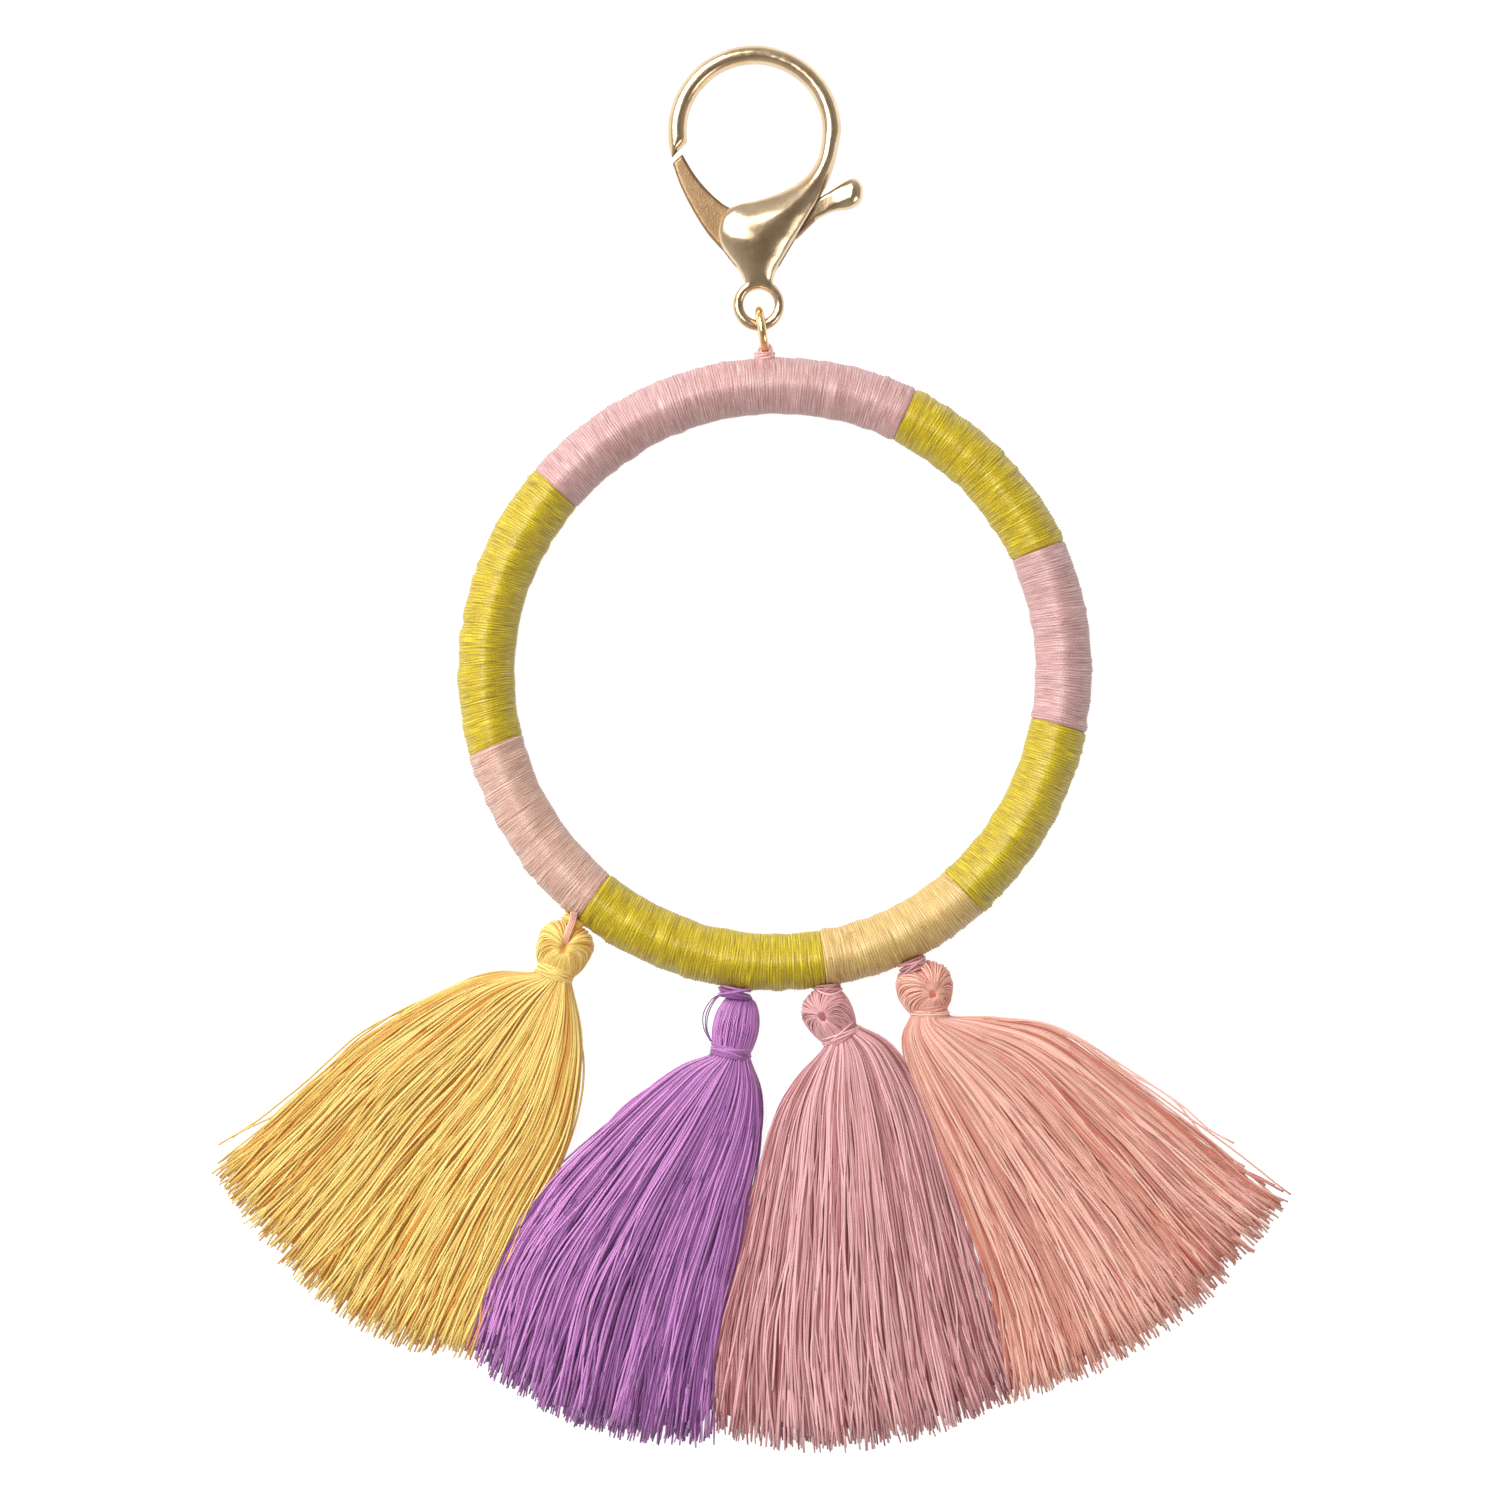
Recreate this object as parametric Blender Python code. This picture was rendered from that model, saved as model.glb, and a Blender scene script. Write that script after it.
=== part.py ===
"""Wristlet keychain: a thread-wrapped bangle with a lobster clasp and four thread tassels.

The keychain lies flat on z = 0. The bangle is a ring in the XY plane, the clasp points to +Y and
the tassels fan out to -Y. Outlines are written in millimetres from the bangle's centre, and
BANGLE_CENTRE moves them all so that the whole object's box is centred on the origin.
"""

from math import atan2, cos, pi, radians, sin

import bmesh
import bpy
from mathutils import Matrix, Vector

MM = 0.001

# Bangle
BANGLE_CENTRE = Vector((3.5, 10.3, 3.8)) * MM
BANGLE_RADIUS = 38.9 * MM
WRAP_RADIUS = 3.8 * MM
WRAP_THICKNESS = 0.6 * MM
CORE_GAP = 0.3 * MM
WRAP_GAP = 0.3 * MM
WRAP_STEP = radians(6)
WRAP_SIDES = 16

# Each wrapped length runs anticlockwise from its own start angle to the next one's start.
WRAPS = (
    ("wrap_green_top_right", 24.7, "green_thread"),
    ("wrap_pink_top", 63.0, "pink_thread"),
    ("wrap_green_left", 140.0, "green_thread"),
    ("wrap_peach_left", 194.7, "peach_thread"),
    ("wrap_green_bottom", 231.3, "green_thread"),
    ("wrap_sand_bottom", 279.8, "sand_thread"),
    ("wrap_green_lower_right", 310.8, "green_thread"),
    ("wrap_pink_right", 349.5, "pink_thread"),
)

# Clasp, as places in the bangle's frame
CLASP_Z = 3.2 * MM
HOOK_CENTRE = (-2.65, 73.4)
HOOK_RADIUS = 10.5
HOOK_WIRE = 1.28
HOOK_FLATNESS = 1.2
HOOK_START, HOOK_END = -14, 202
HOOK_TIP = (-12.7, 70.96)
HOOK_TIP_SLANT = radians(46.4)
BODY_HALF = 3.2
BODY_EDGE = 1.15
SLOT_HALF = 1.4
PIVOT = (-2.3, 59.7)
PIN_RADIUS = 0.6
PIN_HALF = 2.2
PIN_CLEARANCE = 0.1
LEVER_HALF = 1.1
LEVER_EDGE = 0.35
EYE_CENTRE = (-2.1, 49.85)
EYE_RADIUS = 2.74
EYE_WIRE = 0.66
EYE_FLATNESS = 1.5
SPRING_CENTRE = (-2.3, 55.8)
SPRING_RADIUS = 0.45
SPRING_WIRE = 0.13
SPRING_HALF = 0.95
SPRING_TURNS = 3

# Jump ring and the thread loop that holds it
RING_RADIUS = 2.8
RING_WIRE = 0.6
RING_Z = 3.4 * MM
RING_FOOT = (-1.2, 43.65)
RING_LEAN = radians(9)
RING_SPLIT = radians(5)
LOOP_RADIUS = 1.2
LOOP_THREAD = 0.4
LOOP_WIDENING = 1.7

# Tassels
HANGER_FROM_CENTRE = 43.2
HANGER_RADIUS = 1.05
HANGER_THREAD = 0.34
HEAD_HALF_HEIGHT = 3.1
HEAD_Z = 3.3
NECK_RADIUS = 2.0
NECK_Z = 3.2
BAND_RADIUS = 2.45
BAND_THREAD = 0.3
NECK_HALF = 1.2
SKIRT_SECTION_SIDES = 20
SKIRT_SHARES = (0.06, 0.13, 0.22, 0.34, 0.5, 0.7, 0.88, 1.0)
SKIRT_BOTTOM = 0.05
SKIRT_INSET = 0.96
MAUVE_HANGERS = ("rose", "coral")

# Each tassel: the angle on the bangle that it hangs from, the head's centre with its half length
# and half width, the neck's centre with its band's length, then the skirt: its two edges as points
# from the neck to the hem, and how far the hem bulges past the line between its corners.
TASSELS = {
    "yellow": {
        "angle": -129.0,
        "head": (-28.2, -37.0),
        "head_size": (2.8, 3.8),
        "neck": (-29.8, -40.9),
        "band": 2.4,
        "left": ((-32.4, -40.9), (-37.8, -41), (-43.8, -43), (-55.7, -50), (-66.5, -59.8), (-77.6, -69.4)),
        "right": ((-27.6, -42.9), (-26.7, -48.2), (-26.6, -54), (-28.6, -63.8), (-35.2, -77), (-41.9, -93.6)),
        "hem": 5.2,
    },
    "purple": {
        "angle": -96.8,
        "head": (-5.2, -47.9),
        "head_size": (4.2, 3.15),
        "neck": (-5.7, -51.3),
        "band": 2.0,
        "left": ((-8.6, -52.1), (-13.1, -54), (-20.7, -60), (-30.7, -70), (-37, -79.3), (-41.5, -93)),
        "right": ((-3.2, -53.2), (-2.0, -57.4), (-2.3, -64.4), (-5.3, -77.5), (-7.6, -90.0), (-9.9, -105.2)),
        "hem": 3.6,
    },
    "rose": {
        "angle": -81.4,
        "head": (7.2, -46.4),
        "head_size": (3.1, 3.4),
        "neck": (9.0, -49.4),
        "band": 2.2,
        "left": ((6.5, -51.6), (3.0, -55.6), (-0.3, -62.0), (-4.1, -77.7), (-7.0, -89.6), (-8.3, -103.4)),
        "right": ((11.7, -48.4), (15.9, -51.2), (20.6, -59.3), (25.1, -73.0), (29.4, -87.7), (33.3, -98.5)),
        "hem": 4.4,
    },
    "coral": {
        "angle": -64.3,
        "head": (20.5, -42.3),
        "head_size": (2.8, 3.9),
        "neck": (21.2, -46.1),
        "band": 2.0,
        "left": ((18.6, -47.2), (17.7, -50.5), (20.0, -58.5), (25.8, -73.4), (30.2, -86.0), (32.9, -99.6)),
        "right": ((23.9, -46.9), (29.9, -47.3), (39.1, -48.6), (51.4, -56.9), (60.5, -64.4), (70.7, -71.9)),
        "hem": 5.4,
    },
}

COLOURS = {
    "gold": ((0.62, 0.46, 0.26), 0.25, 1.0),
    "steel": ((0.45, 0.45, 0.46), 0.35, 1.0),
    "core": ((0.45, 0.33, 0.2), 0.6, 0.0),
    "pink_thread": ((0.58, 0.34, 0.32), 0.55, 0.0),
    "green_thread": ((0.64, 0.5, 0.045), 0.55, 0.0),
    "peach_thread": ((0.65, 0.36, 0.27), 0.55, 0.0),
    "sand_thread": ((0.8, 0.62, 0.27), 0.55, 0.0),
    "mauve_thread": ((0.3, 0.13, 0.16), 0.6, 0.0),
    "yellow_thread": ((0.75, 0.48, 0.14), 0.6, 0.0),
    "purple_thread": ((0.37, 0.13, 0.37), 0.6, 0.0),
    "rose_thread": ((0.51, 0.21, 0.21), 0.6, 0.0),
    "coral_thread": ((0.75, 0.36, 0.26), 0.6, 0.0),
}


def clear_scene():
    for obj in list(bpy.data.objects):
        bpy.data.objects.remove(obj)


def collection(name):
    made = bpy.data.collections.new(name)
    bpy.context.scene.collection.children.link(made)
    return made


def make_materials():
    made = {}
    for name, (colour, roughness, metallic) in COLOURS.items():
        material = bpy.data.materials.new(name)
        material.use_nodes = True
        shader = material.node_tree.nodes["Principled BSDF"]
        shader.inputs["Base Color"].default_value = (*colour, 1)
        shader.inputs["Roughness"].default_value = roughness
        shader.inputs["Metallic"].default_value = metallic
        made[name] = material
    return made


def place(x, y, z):
    """A point given in millimetres in the bangle's frame, with z over the ground in metres."""
    return Vector((BANGLE_CENTRE.x + x * MM, BANGLE_CENTRE.y + y * MM, z))


def add_object(name, data):
    obj = bpy.data.objects.new(name, data)
    PARTS.objects.link(obj)
    return obj


def finish_mesh(obj, slot):
    """Gives a mesh object its material and smooth shading, and moves it to the parts."""
    for holder in list(obj.users_collection):
        holder.objects.unlink(obj)
    PARTS.objects.link(obj)
    obj.data.materials.clear()
    obj.data.materials.append(MATERIALS[slot])
    obj.data.shade_smooth()
    obj.data.set_sharp_from_angle(angle=radians(40))


def hide_cutter(obj):
    for holder in list(obj.users_collection):
        holder.objects.unlink(obj)
    CUTTERS.objects.link(obj)
    obj.hide_render = True
    obj.display_type = "WIRE"


def mesh_from_curve(obj):
    """The curve object as a mesh object with welded caps. The curve is removed."""
    bpy.context.view_layer.update()
    graph = bpy.context.evaluated_depsgraph_get()
    mesh = bpy.data.meshes.new_from_object(obj.evaluated_get(graph))
    work = bmesh.new()
    work.from_mesh(mesh)
    bmesh.ops.remove_doubles(work, verts=work.verts, dist=1e-6)
    work.to_mesh(mesh)
    work.free()
    made = bpy.data.objects.new(obj.name, mesh)
    PARTS.objects.link(made)
    made.matrix_world = obj.matrix_world
    name = obj.name
    bpy.data.objects.remove(obj)
    made.name = name
    return made


def wire(name, points, radius, resolution=2):
    """A round wire through points given in metres."""
    curve = bpy.data.curves.new(name, "CURVE")
    curve.dimensions = "3D"
    spline = curve.splines.new("POLY")
    spline.points.add(len(points) - 1)
    for point, co in zip(spline.points, points):
        point.co = (*co, 1)
    curve.bevel_depth = radius
    curve.bevel_resolution = resolution
    curve.use_fill_caps = True
    return mesh_from_curve(add_object(name, curve))


def outline_plate(name, points, half, edge, resolution=3, sharp=()):
    """A flat plate with rounded edges, from a smooth closed outline in millimetres."""
    curve = bpy.data.curves.new(name, "CURVE")
    curve.dimensions = "2D"
    curve.fill_mode = "BOTH"
    curve.extrude = (half - edge) * MM
    curve.bevel_depth = edge * MM
    curve.bevel_resolution = 1 if edge < 0.5 else 2
    curve.offset = -edge * MM
    curve.resolution_u = resolution
    spline = curve.splines.new("BEZIER")
    spline.bezier_points.add(len(points) - 1)
    for index, (point, (x, y)) in enumerate(zip(spline.bezier_points, points)):
        point.co = (x * MM, y * MM, 0)
        kind = "VECTOR" if index in sharp else "AUTO"
        point.handle_left_type = kind
        point.handle_right_type = kind
    spline.use_cyclic_u = True
    return mesh_from_curve(add_object(name, curve))


def boolean(obj, other, operation):
    modifier = obj.modifiers.new(operation.title(), "BOOLEAN")
    modifier.operation = operation
    modifier.object = other
    modifier.solver = "EXACT"
    hide_cutter(other)


def cylinder(name, radius, half, location, sides=20):
    bpy.ops.mesh.primitive_cylinder_add(
        vertices=sides, radius=radius * MM, depth=2 * half * MM, location=location
    )
    obj = bpy.context.object
    obj.name = name
    return obj


def torus(name, radius, thread, sides, thread_sides, widening=1.0):
    """A torus about Z, in millimetres, stretched along Z by widening."""
    bpy.ops.mesh.primitive_torus_add(
        major_segments=sides,
        minor_segments=thread_sides,
        major_radius=radius * MM,
        minor_radius=thread * MM,
    )
    obj = bpy.context.object
    obj.name = name
    obj.data.transform(Matrix.Diagonal((1, 1, widening, 1)))
    return obj


def axis_empty(name, location, parent=None):
    """An empty on a joint's axis, under which the joint's moving pieces hang."""
    empty = bpy.data.objects.new(name, None)
    PARTS.objects.link(empty)
    empty.empty_display_size = 3 * MM
    empty.location = location
    attach(empty, parent)
    return empty


def attach(obj, parent):
    """Parents obj and leaves it where it is."""
    if parent is None:
        return
    bpy.context.view_layer.update()
    world = obj.matrix_world.copy()
    obj.parent = parent
    obj.matrix_parent_inverse = parent.matrix_world.inverted()
    obj.matrix_world = world


def bangle_point(angle, distance, z):
    """A point at this angle and distance (mm) from the bangle's centre."""
    return place(distance * cos(angle), distance * sin(angle), z)


# ---------------------------------------------------------------------------- bangle


def wrap_segment(name, start, end, slot):
    """A length of the hollow wrapping: a ring-shaped section spun about the bangle's axis."""
    gap = WRAP_GAP / 2 / BANGLE_RADIUS
    start, end = start + gap, end - gap
    work = bmesh.new()
    rings = []
    for radius in (WRAP_RADIUS, WRAP_RADIUS - WRAP_THICKNESS):
        ring = []
        for side in range(WRAP_SIDES):
            turn = 2 * pi * side / WRAP_SIDES
            ring.append(work.verts.new((BANGLE_RADIUS + radius * cos(turn), 0, radius * sin(turn))))
        rings.append(ring)
    section = []
    for side in range(WRAP_SIDES):
        after = (side + 1) % WRAP_SIDES
        corners = (rings[0][side], rings[0][after], rings[1][after], rings[1][side])
        section.append(work.faces.new(corners))
    bmesh.ops.rotate(work, verts=work.verts, matrix=Matrix.Rotation(start, 3, "Z"))
    edges = list({edge for face in section for edge in face.edges})
    steps = max(4, round((end - start) / WRAP_STEP))
    bmesh.ops.spin(
        work,
        geom=section + edges,
        axis=(0, 0, 1),
        cent=(0, 0, 0),
        angle=end - start,
        steps=steps,
        use_duplicate=False,
    )
    bmesh.ops.recalc_face_normals(work, faces=work.faces)
    mesh = bpy.data.meshes.new(name)
    work.to_mesh(mesh)
    work.free()
    obj = add_object(name, mesh)
    obj.location = BANGLE_CENTRE
    finish_mesh(obj, slot)


def make_wraps():
    starts = [radians(start) for _, start, _ in WRAPS]
    ends = starts[1:] + [starts[0] + 2 * pi]
    for (name, _, slot), start, end in zip(WRAPS, starts, ends):
        wrap_segment(name, start, end, slot)


def make_core():
    radius = WRAP_RADIUS - WRAP_THICKNESS - CORE_GAP
    obj = torus("bangle_core", BANGLE_RADIUS / MM, radius / MM, 60, 8)
    obj.location = BANGLE_CENTRE
    finish_mesh(obj, "core")


def make_thread_loop():
    """The small loop of thread on the bangle's top that the jump ring goes through."""
    x, y = RING_FOOT
    foot = BANGLE_RADIUS / MM + WRAP_RADIUS / MM + 0.25
    points = [(x + LOOP_RADIUS, foot)]
    for step in range(9):
        turn = pi * step / 8
        points.append((x + LOOP_RADIUS * cos(turn), y + LOOP_RADIUS * sin(turn)))
    points.append((x - LOOP_RADIUS, foot))
    flat = [Vector((px * MM, py * MM, 0)) for px, py in points]
    obj = wire("thread_loop", flat, LOOP_THREAD * MM)
    obj.data.transform(Matrix.Diagonal((1, 1, LOOP_WIDENING, 1)))
    obj.location = place(0, 0, RING_Z)
    finish_mesh(obj, "pink_thread")


# ---------------------------------------------------------------------------- clasp


def make_jump_ring(parent):
    """A split ring that stands upright through the thread loop and the clasp's eye."""
    points = []
    steps = 28
    for step in range(steps + 1):
        turn = RING_SPLIT / 2 + (2 * pi - RING_SPLIT) * step / steps
        points.append(Vector((0, 1 - cos(turn), sin(turn))) * RING_RADIUS * MM)
    obj = wire("jump_ring", points, RING_WIRE * MM)
    obj.rotation_euler.z = RING_LEAN
    obj.location = place(*RING_FOOT, RING_Z)
    finish_mesh(obj, "gold")
    attach(obj, parent)


def clasp_half_thickness(y):
    """Half the clasp body's thickness at this distance up from the bangle's centre."""
    levels = ((52.0, 1.3), (54.0, 2.2), (57.5, 3.1), (60.5, BODY_HALF), (66.0, 2.5), (72.5, 1.5))
    if y <= levels[0][0]:
        return levels[0][1]
    for (low, thin), (high, thick) in zip(levels, levels[1:]):
        if y <= high:
            share = (y - low) / (high - low)
            return thin + (thick - thin) * share * share * (3 - 2 * share)
    return levels[-1][1]


def clasp_shell():
    """The solid teardrop between the eye and the hook, thickest over the pivot."""
    right = [(9.15, 73.4), (8.3, 69.3), (7.0, 65.9), (4.95, 62.3), (3.1, 59.3), (0.3, 54.6), (-0.4, 52.4)]
    left = [(-3.8, 52.4), (-4.7, 54.6), (-6.9, 57.4), (-7.55, 59.8), (-7.05, 61.8), (-5.7, 63.1)]
    rim = [(-2.5, 63.9), (1.9, 65.6), (5.2, 68.5), (6.55, 73.4)]
    obj = outline_plate("clasp_body", right + left + rim, BODY_HALF, BODY_EDGE)
    for vertex in obj.data.vertices:
        vertex.co.z *= clasp_half_thickness(vertex.co.y / MM) / BODY_HALF
    return obj


def clasp_hook():
    points = []
    steps = 36
    for step in range(steps + 1):
        turn = radians(HOOK_START + (HOOK_END - HOOK_START) * step / steps)
        x = HOOK_CENTRE[0] + HOOK_RADIUS * cos(turn)
        y = HOOK_CENTRE[1] + HOOK_RADIUS * sin(turn)
        points.append(Vector((x, y, 0)) * MM)
    obj = wire("hook", points, HOOK_WIRE * MM, resolution=3)
    obj.data.transform(Matrix.Diagonal((1, 1, HOOK_FLATNESS, 1)))
    return obj


def hook_tip_cutter():
    """A block under the slanted face at the hook's tip."""
    size = 6.0
    bpy.ops.mesh.primitive_cube_add(size=size * MM)
    obj = bpy.context.object
    obj.name = "hook_tip_cutter"
    down = Matrix.Translation((0, -size / 2 * MM, 0))
    turn = Matrix.Rotation(HOOK_TIP_SLANT, 4, "Z")
    obj.data.transform(Matrix.Translation((HOOK_TIP[0] * MM, HOOK_TIP[1] * MM, 0)) @ turn @ down)
    return obj


def lever_slot_cutter():
    """The space between the clasp's cheeks that the lever turns in."""
    points = [(-11, 55.0), (9.5, 55.0), (9.5, 66.6), (0.2, 62.6), (-1.9, 62.6), (-2.4, 66.5), (-11, 66.5)]
    every = range(len(points))
    return outline_plate("lever_slot_cutter", points, SLOT_HALF, 0, 1, sharp=every)


def make_clasp_body(parent):
    body = clasp_shell()
    eye = torus("eye", EYE_RADIUS, EYE_WIRE, 28, 10, EYE_FLATNESS)
    eye.data.transform(Matrix.Translation((EYE_CENTRE[0] * MM, EYE_CENTRE[1] * MM, 0)))
    pin_hole = cylinder("pin_pocket_cutter", PIN_RADIUS + PIN_CLEARANCE, PIN_HALF + 0.15, (0, 0, 0))
    pin_hole.data.transform(Matrix.Translation((PIVOT[0] * MM, PIVOT[1] * MM, 0)))
    boolean(body, lever_slot_cutter(), "DIFFERENCE")
    boolean(body, pin_hole, "DIFFERENCE")
    boolean(body, clasp_hook(), "UNION")
    boolean(body, hook_tip_cutter(), "DIFFERENCE")
    boolean(body, eye, "UNION")
    origin = place(0, 0, CLASP_Z)
    body.location = origin
    for modifier in body.modifiers:
        modifier.object.location = origin
    finish_mesh(body, "gold")
    attach(body, parent)


def make_lever(parent):
    """The sprung gate: the arm that closes the hook, the hub on the pin and the thumb tab."""
    arm_inner = [(-12.4, 70.3), (-10.9, 67.7), (-9.3, 65.7), (-7.5, 64.0), (-5.9, 63.0)]
    tab_top = [(-2.3, 62.1), (0.5, 62.0), (4.0, 63.2), (6.9, 64.8), (9.7, 66.6)]
    knob = [(11.0, 67.0), (12.1, 65.5), (11.8, 63.9), (10.5, 63.0)]
    tab_under = [(8.3, 62.7), (6.1, 61.7), (4.5, 60.3), (3.0, 58.9), (0.6, 57.7), (-2.3, 57.2)]
    arm_outer = [(-4.6, 56.9), (-7.0, 57.5), (-9.3, 60.0), (-11.1, 62.9), (-12.7, 66.1), (-13.8, 69.1)]
    points = arm_inner + tab_top + knob + tab_under + arm_outer
    centred = [(x - PIVOT[0], y - PIVOT[1]) for x, y in points]
    last = len(points) - 1
    lever = outline_plate("gate_lever", centred, LEVER_HALF, LEVER_EDGE, sharp=(0, last))
    lever.location = place(*PIVOT, CLASP_Z)
    hole = cylinder("lever_hole_cutter", PIN_RADIUS + PIN_CLEARANCE, 2, place(*PIVOT, CLASP_Z))
    boolean(lever, hole, "DIFFERENCE")
    finish_mesh(lever, "gold")
    attach(lever, parent)


def make_pin(parent):
    pin = cylinder("pivot_pin", PIN_RADIUS, PIN_HALF, place(*PIVOT, CLASP_Z))
    finish_mesh(pin, "steel")
    attach(pin, parent)


def make_spring(parent):
    """A torsion spring under the lever's hub, with a leg to each side."""
    points = [(-2.3, 0.35, -SPRING_HALF)]
    steps = 9 * SPRING_TURNS
    for step in range(steps + 1):
        turn = pi / 2 + 2 * pi * SPRING_TURNS * step / steps
        x, y = SPRING_RADIUS * cos(turn), SPRING_RADIUS * sin(turn)
        points.append((x, y, SPRING_HALF * (2 * step / steps - 1)))
    points.append((2.3, 0.35, SPRING_HALF))
    spring = wire("gate_spring", [Vector(point) * MM for point in points], SPRING_WIRE * MM, 1)
    spring.location = place(*SPRING_CENTRE, CLASP_Z)
    finish_mesh(spring, "steel")
    attach(spring, parent)


def make_clasp():
    swing = axis_empty("ring_swing_axis", place(*RING_FOOT, RING_Z))
    make_jump_ring(swing)
    eye_wall = place(EYE_CENTRE[0], EYE_CENTRE[1] - EYE_RADIUS, CLASP_Z)
    fold = axis_empty("clasp_fold_axis", eye_wall, swing)
    make_clasp_body(fold)
    make_pin(fold)
    make_spring(fold)
    make_lever(fold)


# ---------------------------------------------------------------------------- tassels


def along(line, share):
    """The point at this share of the length of a line of flat points."""
    spans = [(last - first).length for first, last in zip(line, line[1:])]
    left = share * sum(spans)
    for first, last, span in zip(line, line[1:], spans):
        if left <= span:
            return first.lerp(last, left / span)
        left -= span
    return line[-1]


def skirt_half_thickness(share):
    """Half the skirt's thickness at this share of its length."""
    levels = ((0.0, 2.0), (0.12, 3.1), (0.45, 2.9), (1.0, 1.9))
    for (low, first), (high, second) in zip(levels, levels[1:]):
        if share <= high:
            return first + (second - first) * (share - low) / (high - low)
    return levels[-1][1]


def head_sections(head, size, neck, axis, across):
    """Round sections from the top of the head down to the foot of the neck band."""
    length, width = size
    sections = []
    for turn in (0.2, 0.5, 0.85, 1.25, 1.7, 2.1):
        centre = head - axis * length * cos(turn)
        sections.append((centre, width * sin(turn), HEAD_HALF_HEIGHT * sin(turn), HEAD_Z))
    for offset in (-NECK_HALF, NECK_HALF):
        sections.append((neck + axis * offset, NECK_RADIUS, NECK_RADIUS, NECK_Z))
    return sections


def skirt_point(tassel, foot, across, share, turn):
    """A point of the skirt's section at this share of its length, turn radians round from +X."""
    ends = []
    for edge, side in (("left", -1), ("right", 1)):
        start = (foot + across * side * NECK_RADIUS).xy
        ends.append([start] + [Vector(point) for point in tassel[edge]])
    side = SKIRT_INSET * cos(turn)
    low, high = (along(line, share) for line in ends)
    corner = ends[1][-1] - ends[0][-1]
    outward = Vector((corner.y, -corner.x)).normalized()
    bulge = tassel["hem"] * (1 - side**2) * share**1.6
    flat = low.lerp(high, (1 + side) / 2) + outward * bulge
    half_height = skirt_half_thickness(share)
    return Vector((*flat, SKIRT_BOTTOM + half_height * (1 + sin(turn))))


def strand_bundle(name, tassel):
    """One closed loft: the folded head, the tied neck and the fan of the skirt."""
    head, neck = Vector((*tassel["head"], 0)), Vector((*tassel["neck"], 0))
    axis = (neck - head).normalized()
    across = Vector((-axis.y, axis.x, 0))
    turns = [2 * pi * side / SKIRT_SECTION_SIDES for side in range(SKIRT_SECTION_SIDES)]
    rings = []
    for centre, width, height, z in head_sections(head, tassel["head_size"], neck, axis, across):
        ring = [centre + across * width * cos(t) + Vector((0, 0, z + height * sin(t))) for t in turns]
        rings.append(ring)
    foot = neck + axis * NECK_HALF
    for share in SKIRT_SHARES:
        rings.append([skirt_point(tassel, foot, across, share, t) for t in turns])
    return loft(name, rings)


def loft(name, rings):
    """A closed body through rings of equal point counts, with an end fan on each side."""
    work = bmesh.new()
    verts = [[work.verts.new(BANGLE_CENTRE.xy.to_3d() + point * MM) for point in ring] for ring in rings]
    for first, second in zip(verts, verts[1:]):
        for side in range(len(first)):
            after = (side + 1) % len(first)
            work.faces.new((first[side], first[after], second[after], second[side]))
    for ring in (verts[0], verts[-1]):
        centre = work.verts.new(sum((vert.co for vert in ring), Vector()) / len(ring))
        for side in range(len(ring)):
            work.faces.new((ring[side], ring[(side + 1) % len(ring)], centre))
    bmesh.ops.recalc_face_normals(work, faces=work.faces)
    mesh = bpy.data.meshes.new(name)
    work.to_mesh(mesh)
    work.free()
    return add_object(name, mesh)


def make_hanger(name, angle, slot):
    """The tied thread collar between the bangle and the tassel's head."""
    obj = torus(name, HANGER_RADIUS, HANGER_THREAD, 16, 6)
    obj.rotation_euler = (0, pi / 2, angle)
    obj.location = bangle_point(angle, HANGER_FROM_CENTRE, BANGLE_CENTRE.z)
    finish_mesh(obj, slot)
    return obj


def make_band(name, tassel, slot):
    """The thread wound round the tassel's neck."""
    head, neck = tassel["head"], tassel["neck"]
    obj = torus(name, BAND_RADIUS, BAND_THREAD, 20, 6, tassel["band"] / 2 / BAND_THREAD)
    obj.rotation_euler = (0, pi / 2, atan2(neck[1] - head[1], neck[0] - head[0]))
    obj.location = place(*neck, NECK_Z * MM)
    finish_mesh(obj, slot)
    return obj


def make_tassel(colour, tassel):
    slot = f"{colour}_thread"
    angle = radians(tassel["angle"])
    tube_centre = bangle_point(angle, BANGLE_RADIUS / MM, BANGLE_CENTRE.z)
    lift = axis_empty(f"tassel_{colour}_axis", tube_centre)
    strands = strand_bundle(f"tassel_{colour}_strands", tassel)
    finish_mesh(strands, slot)
    hanger_slot = "mauve_thread" if colour in MAUVE_HANGERS else slot
    hanger = make_hanger(f"tassel_{colour}_hanger", angle, hanger_slot)
    neck_band = make_band(f"tassel_{colour}_neck_band", tassel, slot)
    for piece in (strands, hanger, neck_band):
        attach(piece, lift)


clear_scene()
PARTS = collection("wristlet_keychain")
CUTTERS = collection("cutters")
MATERIALS = make_materials()
make_core()
make_wraps()
make_thread_loop()
make_clasp()
for colour, tassel in TASSELS.items():
    make_tassel(colour, tassel)
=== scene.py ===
"""The looks of the wristlet keychain: wound thread, loose tassel yarn and a plated clasp.

Lengths are in millimetres, with x and y from the bangle's centre, and world() turns them into
the frame's metres. The clasp lies towards +Y and the tassels towards -Y.
"""

from math import cos, pi, radians, sin, sqrt

import bmesh
import bpy
import numpy as np
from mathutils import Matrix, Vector
from mathutils.geometry import delaunay_2d_cdt

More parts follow.
